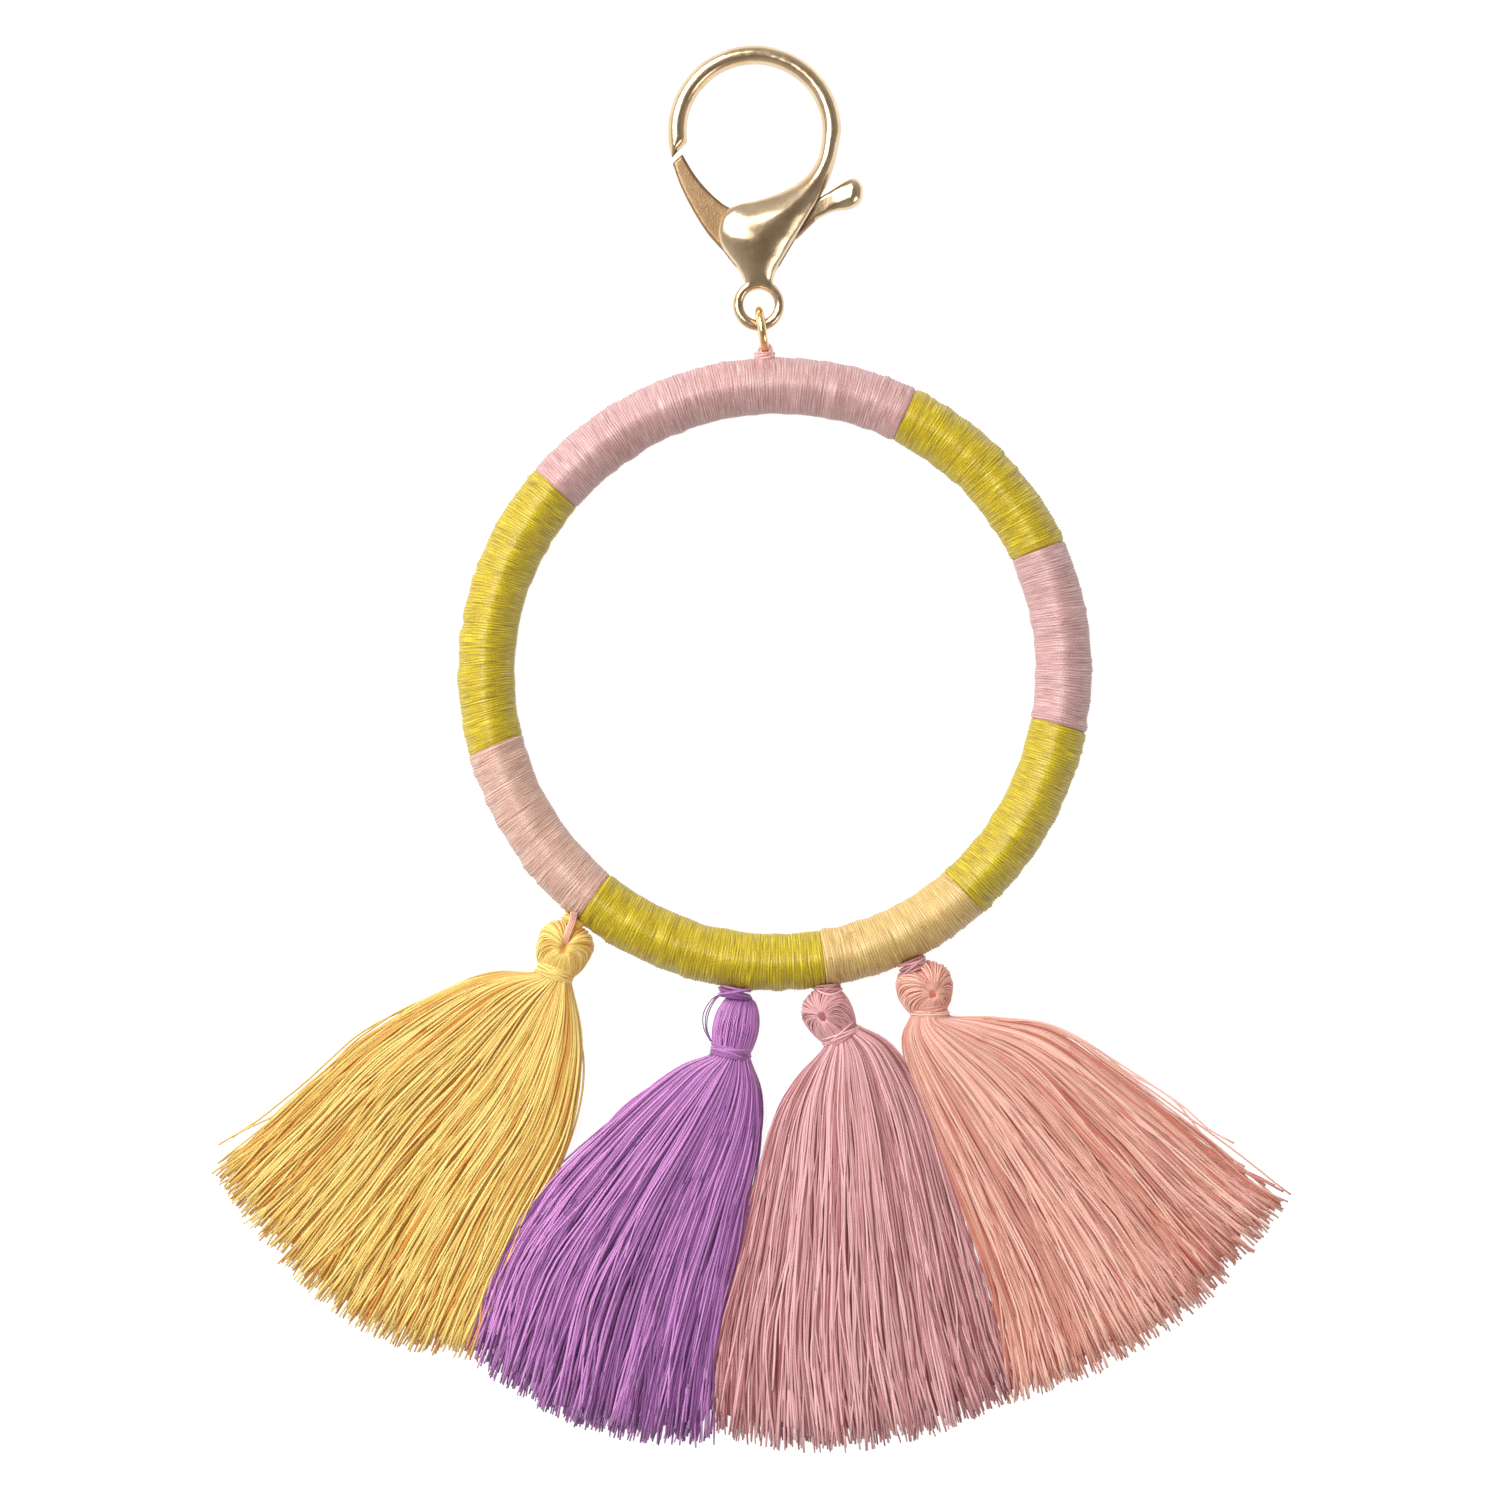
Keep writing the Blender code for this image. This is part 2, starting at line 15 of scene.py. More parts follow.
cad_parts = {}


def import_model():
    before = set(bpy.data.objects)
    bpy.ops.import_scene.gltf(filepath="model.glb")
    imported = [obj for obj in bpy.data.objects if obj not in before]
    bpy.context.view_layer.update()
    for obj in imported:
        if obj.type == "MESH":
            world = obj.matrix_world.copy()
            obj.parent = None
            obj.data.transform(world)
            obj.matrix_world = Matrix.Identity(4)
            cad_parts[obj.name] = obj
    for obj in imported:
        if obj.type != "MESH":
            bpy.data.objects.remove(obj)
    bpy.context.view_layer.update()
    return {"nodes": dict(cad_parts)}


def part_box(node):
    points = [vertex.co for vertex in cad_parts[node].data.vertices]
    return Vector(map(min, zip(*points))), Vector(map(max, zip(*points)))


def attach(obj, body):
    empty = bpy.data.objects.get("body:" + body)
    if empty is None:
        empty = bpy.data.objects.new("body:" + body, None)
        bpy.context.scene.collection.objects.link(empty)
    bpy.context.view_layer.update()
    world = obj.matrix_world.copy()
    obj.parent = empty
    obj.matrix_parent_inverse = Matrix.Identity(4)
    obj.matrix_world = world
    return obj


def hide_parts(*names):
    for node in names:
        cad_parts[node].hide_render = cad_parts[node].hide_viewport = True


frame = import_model()

MM = 0.001


def box_centre(node):
    low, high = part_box(node)
    return (Vector(low) + Vector(high)) / 2


CENTRE = np.array(box_centre("bangle_core"))
WRAP_LOW, WRAP_HIGH = (Vector(corner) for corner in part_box("wrap_pink_top"))
TUBE_RADIUS = (WRAP_HIGH.z - WRAP_LOW.z) / 2 / MM
CORE_LOW, CORE_HIGH = (Vector(corner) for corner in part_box("bangle_core"))
BANGLE_RADIUS = (CORE_HIGH.x - CORE_LOW.x - (CORE_HIGH.z - CORE_LOW.z)) / 2 / MM
CLASP_Z = box_centre("clasp_body").z / MM
RING_Z = box_centre("jump_ring").z / MM
UP = np.array([0.0, 0.0, 1.0])


def world(points):
    """Points in millimetres, with x and y from the bangle's centre and z from the ground."""
    points = np.asarray(points, float)
    return points * MM + np.array([CENTRE[0], CENTRE[1], 0])


# ---------------------------------------------------------------------------- materials

GLOW = 0.25


def srgb(*values):
    """A colour given as 0 to 255 sRGB, as the linear colour that a shader wants."""
    linear = []
    for value in values:
        share = value / 255
        linear.append(share / 12.92 if share <= 0.04045 else ((share + 0.055) / 1.055) ** 2.4)
    return (*linear, 1)


class Nodes:
    """The node tree of a material or a world, with short calls to add and join nodes."""

    def __init__(self, owner, shader="Principled BSDF"):
        self.owner = owner
        self.owner.use_nodes = True
        self.tree = owner.node_tree
        self.shader = self.tree.nodes[shader]

    def add(self, kind, inputs=None, **settings):
        node = self.tree.nodes.new("ShaderNode" + kind)
        for key, value in settings.items():
            setattr(node, key, value)
        for key, value in (inputs or {}).items():
            self.feed(node.inputs[key], value)
        return node

    def feed(self, socket, value):
        if isinstance(value, bpy.types.NodeSocket):
            self.tree.links.new(value, socket)
        else:
            socket.default_value = value

    def math(self, operation, first, second=0.0, third=0.0):
        return self.add("Math", {0: first, 1: second, 2: third}, operation=operation).outputs[0]

    def mix(self, factor, first, second, blend="MIX"):
        inputs = {"Factor": factor, "A": first, "B": second}
        return self.add("Mix", inputs, data_type="RGBA", blend_type=blend).outputs["Result"]

    def vector(self, x, y, z=0.0):
        return self.add("CombineXYZ", {"X": x, "Y": y, "Z": z}).outputs["Vector"]

    def wind(self):
        """The U and V of the wind UV map."""
        uv = self.add("UVMap", uv_map="wind").outputs["UV"]
        split = self.add("SeparateXYZ", {"Vector": uv})
        return split.outputs["X"], split.outputs["Y"]

    def noise(self, vector, scale, detail=2.0, roughness=0.5):
        inputs = {"Vector": vector, "Scale": scale, "Detail": detail, "Roughness": roughness}
        return self.add("TexNoise", inputs).outputs["Fac"]

    def ramp(self, factor, stops):
        node = self.add("ValToRGB", {"Fac": factor})
        while len(node.color_ramp.elements) < len(stops):
            node.color_ramp.elements.new(0.5)
        for element, (position, colour) in zip(node.color_ramp.elements, stops):
            element.position = position
            element.color = colour
        return node.outputs["Color"]

    def bump(self, height, strength, distance, normal=None):
        node = self.add("Bump", {"Height": height, "Strength": strength, "Distance": distance})
        if normal:
            self.feed(node.inputs["Normal"], normal)
        return node.outputs["Normal"]

    def set(self, **values):
        for key, value in values.items():
            self.feed(self.shader.inputs[key.replace("_", " ")], value)
        return self.owner


def material_nodes(name):
    return Nodes(bpy.data.materials.new(name))


def wound_material(name, deep, base, light):
    """Thread wound side by side: U counts the turns and V runs round the tube."""
    n = material_nodes(name)
    turns, round_tube = n.wind()
    groove = n.math("ABSOLUTE", n.math("SINE", n.math("MULTIPLY", turns, pi)))
    slow = n.vector(turns, n.math("MULTIPLY", round_tube, 3.0))
    turn_noise = n.noise(slow, 2.3, 1.0, 0.6)
    band_noise = n.noise(slow, 0.09, 2.0, 0.5)
    fibre_at = n.vector(n.math("MULTIPLY", turns, 2.2), n.math("MULTIPLY", round_tube, 95.0))
    fibre = n.noise(fibre_at, 1.0, 3.0, 0.7)
    shade = n.math("MULTIPLY_ADD", turn_noise, 1.0, -0.5)
    shade = n.math("ADD", shade, n.math("MULTIPLY_ADD", band_noise, 0.16, -0.08))
    shade = n.math("ADD", shade, fibre)
    colour = n.ramp(shade, ((0.15, deep), (0.48, base), (0.85, light)))
    # Painted shade: the grooves between the turns are darkened towards 0.3 of the deep colour, more in some
    # patches than in others.
    gap = n.math("MINIMUM", n.math("MULTIPLY", groove, 1.7), 1.0)
    loose = n.math("MULTIPLY", n.noise(slow, 0.7, 2.0), n.noise(slow, 0.31, 2.0))
    depth = {"Value": loose, "From Min": 0.18, "From Max": 0.42, "To Min": 0.3, "To Max": 0.95}
    depth = n.add("MapRange", depth).outputs["Result"]
    groove_shade = n.math("MULTIPLY", n.math("SUBTRACT", 1.0, gap), depth)
    shaded = n.mix(groove_shade, colour, tuple(0.3 * value for value in deep[:3]) + (1,))
    normal = n.bump(groove, 0.6, 0.00012)
    normal = n.bump(fibre, 0.5, 0.00009, normal)
    n.set(Base_Color=shaded, Roughness=0.42, Normal=normal)
    return n.set(Specular_IOR_Level=0.55, Sheen_Weight=0.15, Sheen_Roughness=0.4)


def yarn_material(name, deep, base, light):
    """Loose plied yarn: an attribute sets each strand's random tone and painted shade, U goes round it and V
    along.

    The weak glow stands for the light that passes between real strands."""
    n = material_nodes(name)
    tone_and_shade = n.add("Attribute", attribute_name="tone_and_shade").outputs["Fac"]
    around, along = n.wind()
    twist = n.math("MULTIPLY_ADD", around, 2.0, n.math("MULTIPLY", along, 1.9))
    ply = n.math("ABSOLUTE", n.math("SINE", n.math("MULTIPLY", twist, pi)))
    fuzz_at = n.vector(n.math("MULTIPLY", around, 3.0), n.math("MULTIPLY", along, 1.1), tone_and_shade)
    fuzz = n.noise(fuzz_at, 2.0, 3.0, 0.65)
    # Painted light: the ply's crowns are lighter and its twist grooves darker, on top of the attribute's
    # random tone and painted shade and the random fuzz.
    shade = n.math("MULTIPLY_ADD", ply, 0.12, n.math("SUBTRACT", tone_and_shade, 0.07))
    shade = n.math("MULTIPLY_ADD", fuzz, 0.22, n.math("SUBTRACT", shade, 0.11))
    # the ramp's darkest stop, reached by strands with the most painted shade and the darkest random tone
    darkest_shade = tuple(0.62 * value for value in deep[:3]) + (1,)
    colour = n.ramp(shade, ((0.0, darkest_shade), (0.18, deep), (0.52, base), (0.95, light)))
    normal = n.bump(ply, 0.14, 0.0001)
    n.set(Base_Color=colour, Roughness=0.5, Normal=normal)
    n.set(Emission_Color=deep, Emission_Strength=GLOW)
    return n.set(Specular_IOR_Level=0.4, Sheen_Weight=0.3, Sheen_Roughness=0.45)


def plated_material(name, light, deep, roughness, pits):
    """Cast metal under thin plating: fine orange peel, pits and slightly uneven colour."""
    n = material_nodes(name)
    at = n.add("TexCoord").outputs["Object"]
    patches = n.noise(at, 260.0, 3.0, 0.6)
    colour = n.mix(n.math("MULTIPLY_ADD", patches, 1.4, -0.2), deep, light)
    grain = n.noise(at, 5200.0, 2.0, 0.6)
    peel = n.noise(at, 900.0, 3.0, 0.55)
    rough = n.math("MULTIPLY_ADD", n.noise(at, 1800.0, 3.0, 0.7), 0.26, roughness - 0.13)
    normal = n.bump(peel, 0.12, 0.0001)
    normal = n.bump(grain, pits, 0.00004, normal)
    return n.set(Base_Color=colour, Metallic=1.0, Roughness=rough, Normal=normal)


def wood_material():
    """The bangle's core, which the thread hides."""
    n = material_nodes("core_wood")
    at = n.add("TexCoord").outputs["Object"]
    stretched = n.add("Mapping", {"Vector": at, "Scale": (300.0, 40.0, 300.0)}).outputs["Vector"]
    grain = n.noise(stretched, 1.0, 5.0, 0.6)
    colour = n.ramp(grain, ((0.3, srgb(150, 112, 74)), (0.7, srgb(202, 168, 122))))
    return n.set(Base_Color=colour, Roughness=0.6, Normal=n.bump(grain, 0.3, 0.0001))


# each thread's deep, middle and light shades
WOUND_SHADES = {
    "pink": ((149, 96, 95), (187, 144, 142), (215, 187, 184)),
    "green": ((115, 92, 1), (177, 152, 0), (224, 208, 16)),
    "peach": ((159, 104, 87), (196, 157, 140), (223, 194, 182)),
    "sand": ((153, 112, 49), (198, 164, 95), (229, 206, 148)),
}
YARN_SHADES = {
    "yellow": ((185, 115, 32), (185, 154, 69), (215, 202, 124)),
    "purple": ((83, 30, 90), (117, 61, 122), (198, 135, 196)),
    "rose": ((127, 60, 66), (163, 110, 113), (217, 174, 174)),
    "coral": ((170, 89, 71), (178, 125, 109), (216, 178, 163)),
    "peach": ((168, 106, 88), (212, 164, 146), (236, 198, 184)),
    "pink": ((160, 100, 98), (204, 154, 150), (232, 196, 192)),
    "mauve": ((110, 66, 70), (160, 108, 110), (206, 156, 154)),
}


def thread_materials(kind, make, table):
    """One material for each row of a table of shades."""
    return {colour: make(f"{kind}_{colour}", *(srgb(*shade) for shade in table[colour])) for colour in table}


WOUND = thread_materials("wound", wound_material, WOUND_SHADES)
YARN = thread_materials("yarn", yarn_material, YARN_SHADES)
GOLD = plated_material("gold_plating", srgb(224, 204, 174), srgb(190, 162, 126), 0.2, 0.3)
GOLD_FLAT = plated_material("gold_lever", srgb(162, 134, 102), srgb(124, 98, 70), 0.4, 0.9)
GOLD_WIRE = plated_material("gold_wire", srgb(240, 216, 170), srgb(224, 188, 132), 0.14, 0.12)
STEEL = plated_material("spring_steel", srgb(206, 206, 208), srgb(160, 160, 164), 0.3, 0.2)


# ---------------------------------------------------------------------------- mesh helpers


def unit(vectors):
    return vectors / np.linalg.norm(vectors, axis=-1, keepdims=True)


def place(name, data):
    """A new object in the scene that holds this mesh, light or camera."""
    obj = bpy.data.objects.new(name, data)
    bpy.context.scene.collection.objects.link(obj)
    return obj


def object_from(name, work):
    """A new object with the mesh that was worked on in bmesh."""
    mesh = bpy.data.meshes.new(name)
    work.to_mesh(mesh)
    work.free()
    return place(name, mesh)


def repaint(node, material):
    """Gives a CAD node that stays in view a better material."""
    materials = frame["nodes"][node].data.materials
    materials.clear()
    materials.append(material)


def ring_faces(rows, columns, flip=False):
    """Faces over rings of points, with a cap at each end."""
    row, side = np.meshgrid(np.arange(rows - 1), np.arange(columns), indexing="ij")
    low, high, after = row * columns, (row + 1) * columns, (side + 1) % columns
    quads = [low + side, high + side, high + after, low + after]
    caps = [list(range(columns)), list(range((rows - 1) * columns, rows * columns))[::-1]]
    if flip:
        quads = [quads[0], *quads[:0:-1]]
        caps = [cap[::-1] for cap in caps]
    return np.stack(quads, -1).reshape(-1, 4).tolist() + caps


def mesh_object(name, points, faces, material, uv, tone_and_shade=None):
    """A smooth mesh object from points in millimetres. uv holds one pair for each face corner."""
    mesh = bpy.data.meshes.new(name)
    mesh.from_pydata(world(points.reshape(-1, 3)).tolist(), [], faces)
    mesh.uv_layers.new(name="wind").data.foreach_set("uv", np.asarray(uv, np.float32).ravel())
    # an attribute of each point's random tone and painted shade, which the yarn material reads
    if tone_and_shade is not None:
        values = mesh.attributes.new("tone_and_shade", "FLOAT", "POINT")
        values.data.foreach_set("value", np.asarray(tone_and_shade, np.float32))
    mesh.shade_smooth()
    mesh.materials.append(material)
    return place(name, mesh)


def tube_arrays(paths, radii, sides):
    """Tubes round many paths of equal point counts, given as (path, point, xyz) in millimetres."""
    tangents = unit(np.gradient(paths, axis=1))
    steep = np.abs(tangents[:, :1, 2:3]) > 0.8
    normal = unit(np.cross(tangents[:, 0], np.where(steep[:, 0], [1.0, 0, 0], UP)))
    normals = np.empty_like(paths)
    for step in range(paths.shape[1]):
        along = tangents[:, step]
        normal = unit(normal - (normal * along).sum(-1, keepdims=True) * along)
        normals[:, step] = normal
    across = np.cross(tangents, normals)
    turn = 2 * pi * np.arange(sides) / sides
    ring = normals[:, :, None] * np.cos(turn)[:, None] + across[:, :, None] * np.sin(turn)[:, None]
    radii = np.broadcast_to(np.asarray(radii, float), paths.shape[:2])
    return paths[:, :, None] + ring * radii[:, :, None, None]


def tube_object(name, paths, radii, material, tone_and_shade, sides=5, closed=False):
    """One object of many yarns. Each path, or each of its points, gets one value of random tone and painted
    shade.
    """
    paths = np.asarray(paths, float)
    count, steps = paths.shape[:2]
    rings = tube_arrays(paths, radii, sides)
    spans = np.arange(steps if closed else steps - 1)
    path, step, side = np.meshgrid(np.arange(count), spans, np.arange(sides), indexing="ij")
    after_step, after_side = (step + 1) % steps, (side + 1) % sides

    def index(p, a, b):
        return (p * steps + a) * sides + b

    corners = ((step, side), (step, after_side), (after_step, after_side), (after_step, side))
    quads = np.stack([index(path, a, b) for a, b in corners], -1).reshape(-1, 4)
    length = np.zeros((count, steps))
    length[:, 1:] = np.cumsum(np.linalg.norm(np.diff(paths, axis=1), axis=-1), axis=1)
    near = length[path, step]
    far = np.where(step + 1 < steps, length[path, after_step], near + 1)
    offset = (path * 0.37) % 1.0
    low, high = side / sides + offset, (side + 1) / sides + offset
    uv = np.stack([low, near, high, near, high, far, low, far], -1).reshape(-1, 2)
    faces = quads.tolist()
    if not closed:
        for end, order in ((0, -1), (steps - 1, 1)):
            caps = index(np.arange(count)[:, None], end, np.arange(sides)[None])
            faces += caps[:, ::order].tolist()
        uv = np.concatenate([uv, np.zeros((2 * count * sides, 2))])
    tone_and_shade = np.asarray(tone_and_shade, float)
    if tone_and_shade.ndim == 1:
        tone_and_shade = np.repeat(tone_and_shade[:, None], steps, axis=1)
    shades = np.repeat(tone_and_shade.reshape(-1), sides)
    return mesh_object(name, rings, faces, material, uv, shades)


def join(name, objects):
    """Joins objects into the first one, which takes the name."""
    bpy.ops.object.select_all(action="DESELECT")
    for obj in objects:
        obj.select_set(True)
    bpy.context.view_layer.objects.active = objects[0]
    bpy.ops.object.join()
    objects[0].name = name
    return objects[0]


def smooth_noise(rng, shape, length, period):
    """Smooth random curves: rows of values that wander over about period samples."""
    knots = max(4, int(length / period) + 3)
    values = rng.normal(size=(*shape, knots))
    at = np.linspace(0, knots - 1.001, length)
    low = at.astype(int)
    share = at - low
    share = share * share * (3 - 2 * share)
    return values[..., low] * (1 - share) + values[..., low + 1] * share


# ---------------------------------------------------------------------------- bangle

TURN_PITCH = 0.36
ROWS_PER_TURN = 5
AROUND = 32
LOWEST = 0.01
# the wound surface lies this far inside the tube's radius, and swells and dips by the rest
INSET = 0.22
RIDGE = 0.045
CREST, FINE_CREST = 0.19, 0.07
LUMP, OUTER_LUMP, TIGHTNESS = 0.045, 0.09, 0.022
END_ROUNDING, START_BUMP = 0.2, 0.1
# node, colour, where it starts in degrees, and how far its turns lean in mm across the tube
WOUND_NODES = (
    ("wrap_green_top_right", "green", 24.7, 0.25),
    ("wrap_pink_top", "pink", 63.0, -0.1),
    ("wrap_green_left", "green", 140.0, 0.2),
    ("wrap_peach_left", "peach", 194.7, -0.5),
    ("wrap_green_bottom", "green", 231.3, -0.2),
    ("wrap_sand_bottom", "sand", 279.8, 0.15),
    ("wrap_green_lower_right", "green", 310.8, -0.2),
    ("wrap_pink_right", "pink", 349.5, 0.3),
)
# degrees, and how far out the hand-made bangle's centre line lies there in mm
OUT_OF_ROUND = (
    (0, 0.35), (30, 0.55), (60, 0.3), (90, -0.05), (130, -0.3), (170, 0.15),
    (210, 0.25), (240, 0.3), (295, 0.65), (330, 0.4), (360, 0.35),
)


def centre_line(angle):
    """The wound bangle's own radius at an angle in radians."""
    degrees, shifts = zip(*OUT_OF_ROUND)
    return BANGLE_RADIUS + np.interp(np.degrees(angle) % 360, degrees, shifts)


def wound_radius(rng, along, turn, turns):
    """How far the wound surface lies from the tube's middle, for each row and each turn round it."""
    rows = len(along)
    lumps = smooth_noise(rng, (4,), rows, 24)
    swell = sum(lumps[k][:, None] * np.cos(k * turn + k) for k in range(4)) * LUMP
    outer_lumps = np.clip(smooth_noise(rng, (1,), rows, 9)[0], 0, 2) * OUTER_LUMP
    swell = swell + outer_lumps[:, None] * np.clip(np.cos(turn), 0, 1)
    tight = smooth_noise(rng, (1,), rows, 3)[0] * TIGHTNESS
    rounding = -END_ROUNDING * np.exp(-np.minimum(along, along[-1] - along) / 0.12)
    bump = START_BUMP * np.exp(-(((along - 0.9) / 0.8) ** 2))
    crest = CREST * np.cos(4 * turn) + FINE_CREST * np.cos(8 * turn)
    by_row = (tight + rounding + bump)[:, None]
    return TUBE_RADIUS - INSET + crest + swell + by_row + RIDGE * np.cos(2 * pi * turns)


def wound_length(node, colour, start, end, lean, next_lean, seed):
    """A length of the bangle with its thread wound round it in turns that aren't quite even."""
    rng = np.random.default_rng(seed)
    length = (end - start) * BANGLE_RADIUS
    rows = int(length / TURN_PITCH * ROWS_PER_TURN)
    along = np.linspace(0, length, rows)
    around = np.arange(AROUND + 1) / AROUND
    turn = -pi / 2 + 2 * pi * np.arange(AROUND + 1) / AROUND
    wander = smooth_noise(rng, (5,), rows, 30)
    warp = sum(wander[k][:, None] * np.cos((k + 1) * turn / 2 + k) for k in range(5)) * 0.1
    turns = along[:, None] / TURN_PITCH + around + warp
    radius = wound_radius(rng, along, turn, turns)
    slant = np.interp(along, (0, length), (lean, next_lean)) / BANGLE_RADIUS
    angle = (start + along / BANGLE_RADIUS)[:, None] - slant[:, None] * np.cos(turn)
    reach = centre_line(angle) + radius * np.cos(turn)
    height = np.maximum(CENTRE[2] / MM + radius * np.sin(turn), LOWEST)
    points = np.stack([reach * np.cos(angle), reach * np.sin(angle), height], -1)[:, :-1]
    wind = np.stack([turns, np.broadcast_to(around, turns.shape)], -1)
    uv = np.stack([wind[:-1, :-1], wind[1:, :-1], wind[1:, 1:], wind[:-1, 1:]], -2).reshape(-1, 2)
    uv = np.concatenate([uv, np.full((2 * AROUND, 2), 0.5)])
    name = node.replace("wrap_", "wound_")
    piece = mesh_object(name, points, ring_faces(rows, AROUND), WOUND[colour], uv)
    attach(piece, "bangle")
    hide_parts(node)


def make_bangle():
    for number, (node, colour, start, lean) in enumerate(WOUND_NODES):
        _, _, end, next_lean = WOUND_NODES[(number + 1) % len(WOUND_NODES)]
        whole_turn = 2 * pi if end < start else 0
        wound_length(node, colour, radians(start), radians(end) + whole_turn, lean, next_lean, number)
    repaint("bangle_core", wood_material())


# ---------------------------------------------------------------------------- tassels

# head_size: half the length above the middle, half the width and half the height
# hole: where the folded strands meet, as (right, down, up) on a unit sphere
# fold: the crease's place across the head, its slant, its depth and where it ends
# mouth: how far from the hole the strands stop, in radians
# left, right: the skirt's edges from under the band to the hem
# hem: how far the hem bulges, and how much more to the right
# collar: its place, tilt in degrees, radius, length and yarn
TASSELS = {
    "yellow": {
        "head": (-28.3, -36.9),
        "head_size": (2.95, 3.8, 3.05),
        "hole": (0.02, 0.12, 0.99),
        "mouth": 0.06,
        "fold": (0.03, 0.0, 0.5, 0.3),
        "neck": (-29.8, -40.8),
        "neck_radius": 2.45,
        "left": (
            (-32.4, -40.9), (-37.8, -41.0), (-43.8, -43.0), (-55.7, -50.0), (-66.5, -59.8), (-76.2, -68.7),
        ),
        "right": (
            (-27.6, -42.9), (-26.7, -48.2), (-26.6, -54.0), (-28.6, -63.8), (-35.2, -76.8), (-41.9, -93.6),
        ),
        "hem": (5.2, 0.3),
        "collar": ((-27.3, -33.85), 34, 1.4, 1.25, "yellow"),
    },
    "purple": {
        "head": (-5.2, -48.3),
        "head_size": (5.2, 3.15, 2.9),
        "hole": (0.02, -1.0, 0.0),
        "mouth": 0.62,
        "fold": (0.0, 0.0, 0.0, 0.0),
        "neck": (-5.85, -51.5),
        "neck_radius": 2.6,
        "left": (
            (-8.6, -52.1), (-13.1, -54.0), (-20.7, -60.0), (-30.7, -70.0), (-37.0, -79.3), (-41.5, -93.0),
        ),
        "right": ((-3.2, -53.2), (-2.0, -57.4), (-2.3, -64.4), (-5.3, -77.5), (-7.6, -90.0), (-9.9, -105.2)),
        "hem": (3.6, 0.0),
        "collar": ((-5.3, -43.55), 6, 2.05, 1.5, "purple"),
    },
    "rose": {
        "head": (7.1, -46.1),
        "head_size": (3.3, 3.4, 3.05),
        "hole": (-0.26, 0.03, 0.96),
        "mouth": 0.07,
        "fold": (-0.26, 0.0, 0.1, 0.2),
        "neck": (9.0, -49.3),
        "neck_radius": 2.5,
        "left": ((6.5, -51.6), (3.0, -55.6), (-0.3, -62.0), (-4.1, -77.7), (-7.0, -89.6), (-8.3, -103.4)),
        "right": ((11.7, -48.4), (15.9, -51.2), (20.6, -59.3), (25.1, -73.0), (29.4, -87.7), (33.3, -98.5)),
        "hem": (4.8, -0.1),
        "collar": ((7.3, -43.1), -12, 1.7, 1.5, "mauve"),
    },
    "coral": {
        "head": (20.4, -42.5),
        "head_size": (3.3, 3.85, 3.05),
        "hole": (0.26, 0.32, 0.91),
        "mouth": 0.06,
        "fold": (0.13, 0.42, 0.24, 0.45),
        "neck": (21.1, -46.2),
        "neck_radius": 2.4,
        "left": ((18.6, -47.2), (17.7, -50.5), (20.0, -58.5), (25.8, -73.4), (30.2, -86.0), (32.9, -99.6)),
        "right": ((23.9, -46.9), (29.9, -47.3), (38.8, -49.4), (50.8, -58.0), (60.0, -65.6), (69.8, -72.4)),
        "hem": (4.4, 0.1),
        "collar": ((18.8, -39.8), -20, 1.8, 1.7, "mauve"),
    },
}
STRANDS = 760
STRAND_STEPS = 30
STRAND_RADIUS = 0.165
CLUMPS = 80
NECK_Z = 3.2
HEAD_Z = 3.3
HEAD_STRANDS = 128
RIBBON_PATH = (
    (-27.1, -32.6, 6.1), (-27.2, -33.4, 5.7), (-27.5, -34.3, 5.5), (-28.0, -35.6, 5.9),
    (-28.35, -36.8, 5.3), (-28.4, -37.3, 4.6),
)
LOOSE_LOOP = np.array(
    [(-7.0, -43.7, 3.9), (-8.0, -44.6, 3.8), (-8.9, -46.4, 3.7), (-9.1, -48.4, 3.6), (-8.5, -50.2, 3.7)]
)
LOOSE_BULGE = np.array([0.2, 0.7, 0.9, 0.6, 0.2])


def neck_frame(spec):
    """The head's centre, the neck's centre, and the unit vectors along and across the neck."""
    head = np.array([*spec["head"], HEAD_Z])
    neck = np.array([*spec["neck"], NECK_Z])
    axis = unit(neck[:2] - head[:2])
    return head, neck, np.array([*axis, 0]), np.array([-axis[1], axis[0], 0])


def yarn_tubes(name, spec, paths, radii, tone_and_shade, sides, closed=False):
    return tube_object(name, paths, radii, YARN[spec["colour"]], tone_and_shade, sides, closed)


def edge_curve(spec, edge, side):
    """One edge of the skirt from inside the band, as (share of its length, x, y)."""
    _, neck, _, across = neck_frame(spec)
    start = (neck + across * side * (spec["neck_radius"] - 0.25))[:2]
    line = smooth_line([start, *spec[edge]], 12)
    length = np.concatenate([[0], np.cumsum(np.linalg.norm(np.diff(line, axis=0), axis=1))])
    return length / length[-1], line[:, 0], line[:, 1]


def fan(spec, side, layer, share):
    """Points of the skirt. side runs from -1 to 1 between its edges, layer from -1 to 1 through
    its thickness and share from 0 at the neck to 1 at the hem."""
    side, layer, share = np.broadcast_arrays(side, layer, share)
    ends = []
    flat = 0
    for edge, sign in (("left", -1), ("right", 1)):
        at, x, y = edge_curve(spec, edge, sign)
        point = np.stack([np.interp(share, at, x), np.interp(share, at, y)], -1)
        flat = flat + point * ((1 + sign * side) / 2)[..., None]
        ends.append(np.array([x[-1], y[-1]]))
    chord = ends[1] - ends[0]
    outward = unit(np.array([chord[1], -chord[0]]))
    bulge, skew = spec["hem"]
    flat = flat + outward * (bulge * (1 - side**2) * (1 + skew * side) * share**1.6)[..., None]
    stations = (0.0, 0.12, 0.35, 0.7, 1.0)
    half = np.interp(share, stations, (2.1, 2.75, 2.6, 2.1, 1.6))
    middle = np.interp(share, stations, (NECK_Z, 3.0, 2.8, 2.3, 1.85))
    height = middle + half * layer * np.sqrt(np.clip(1 - 0.9 * side**2, 0, 1))
    return np.concatenate([flat, height[..., None]], -1)


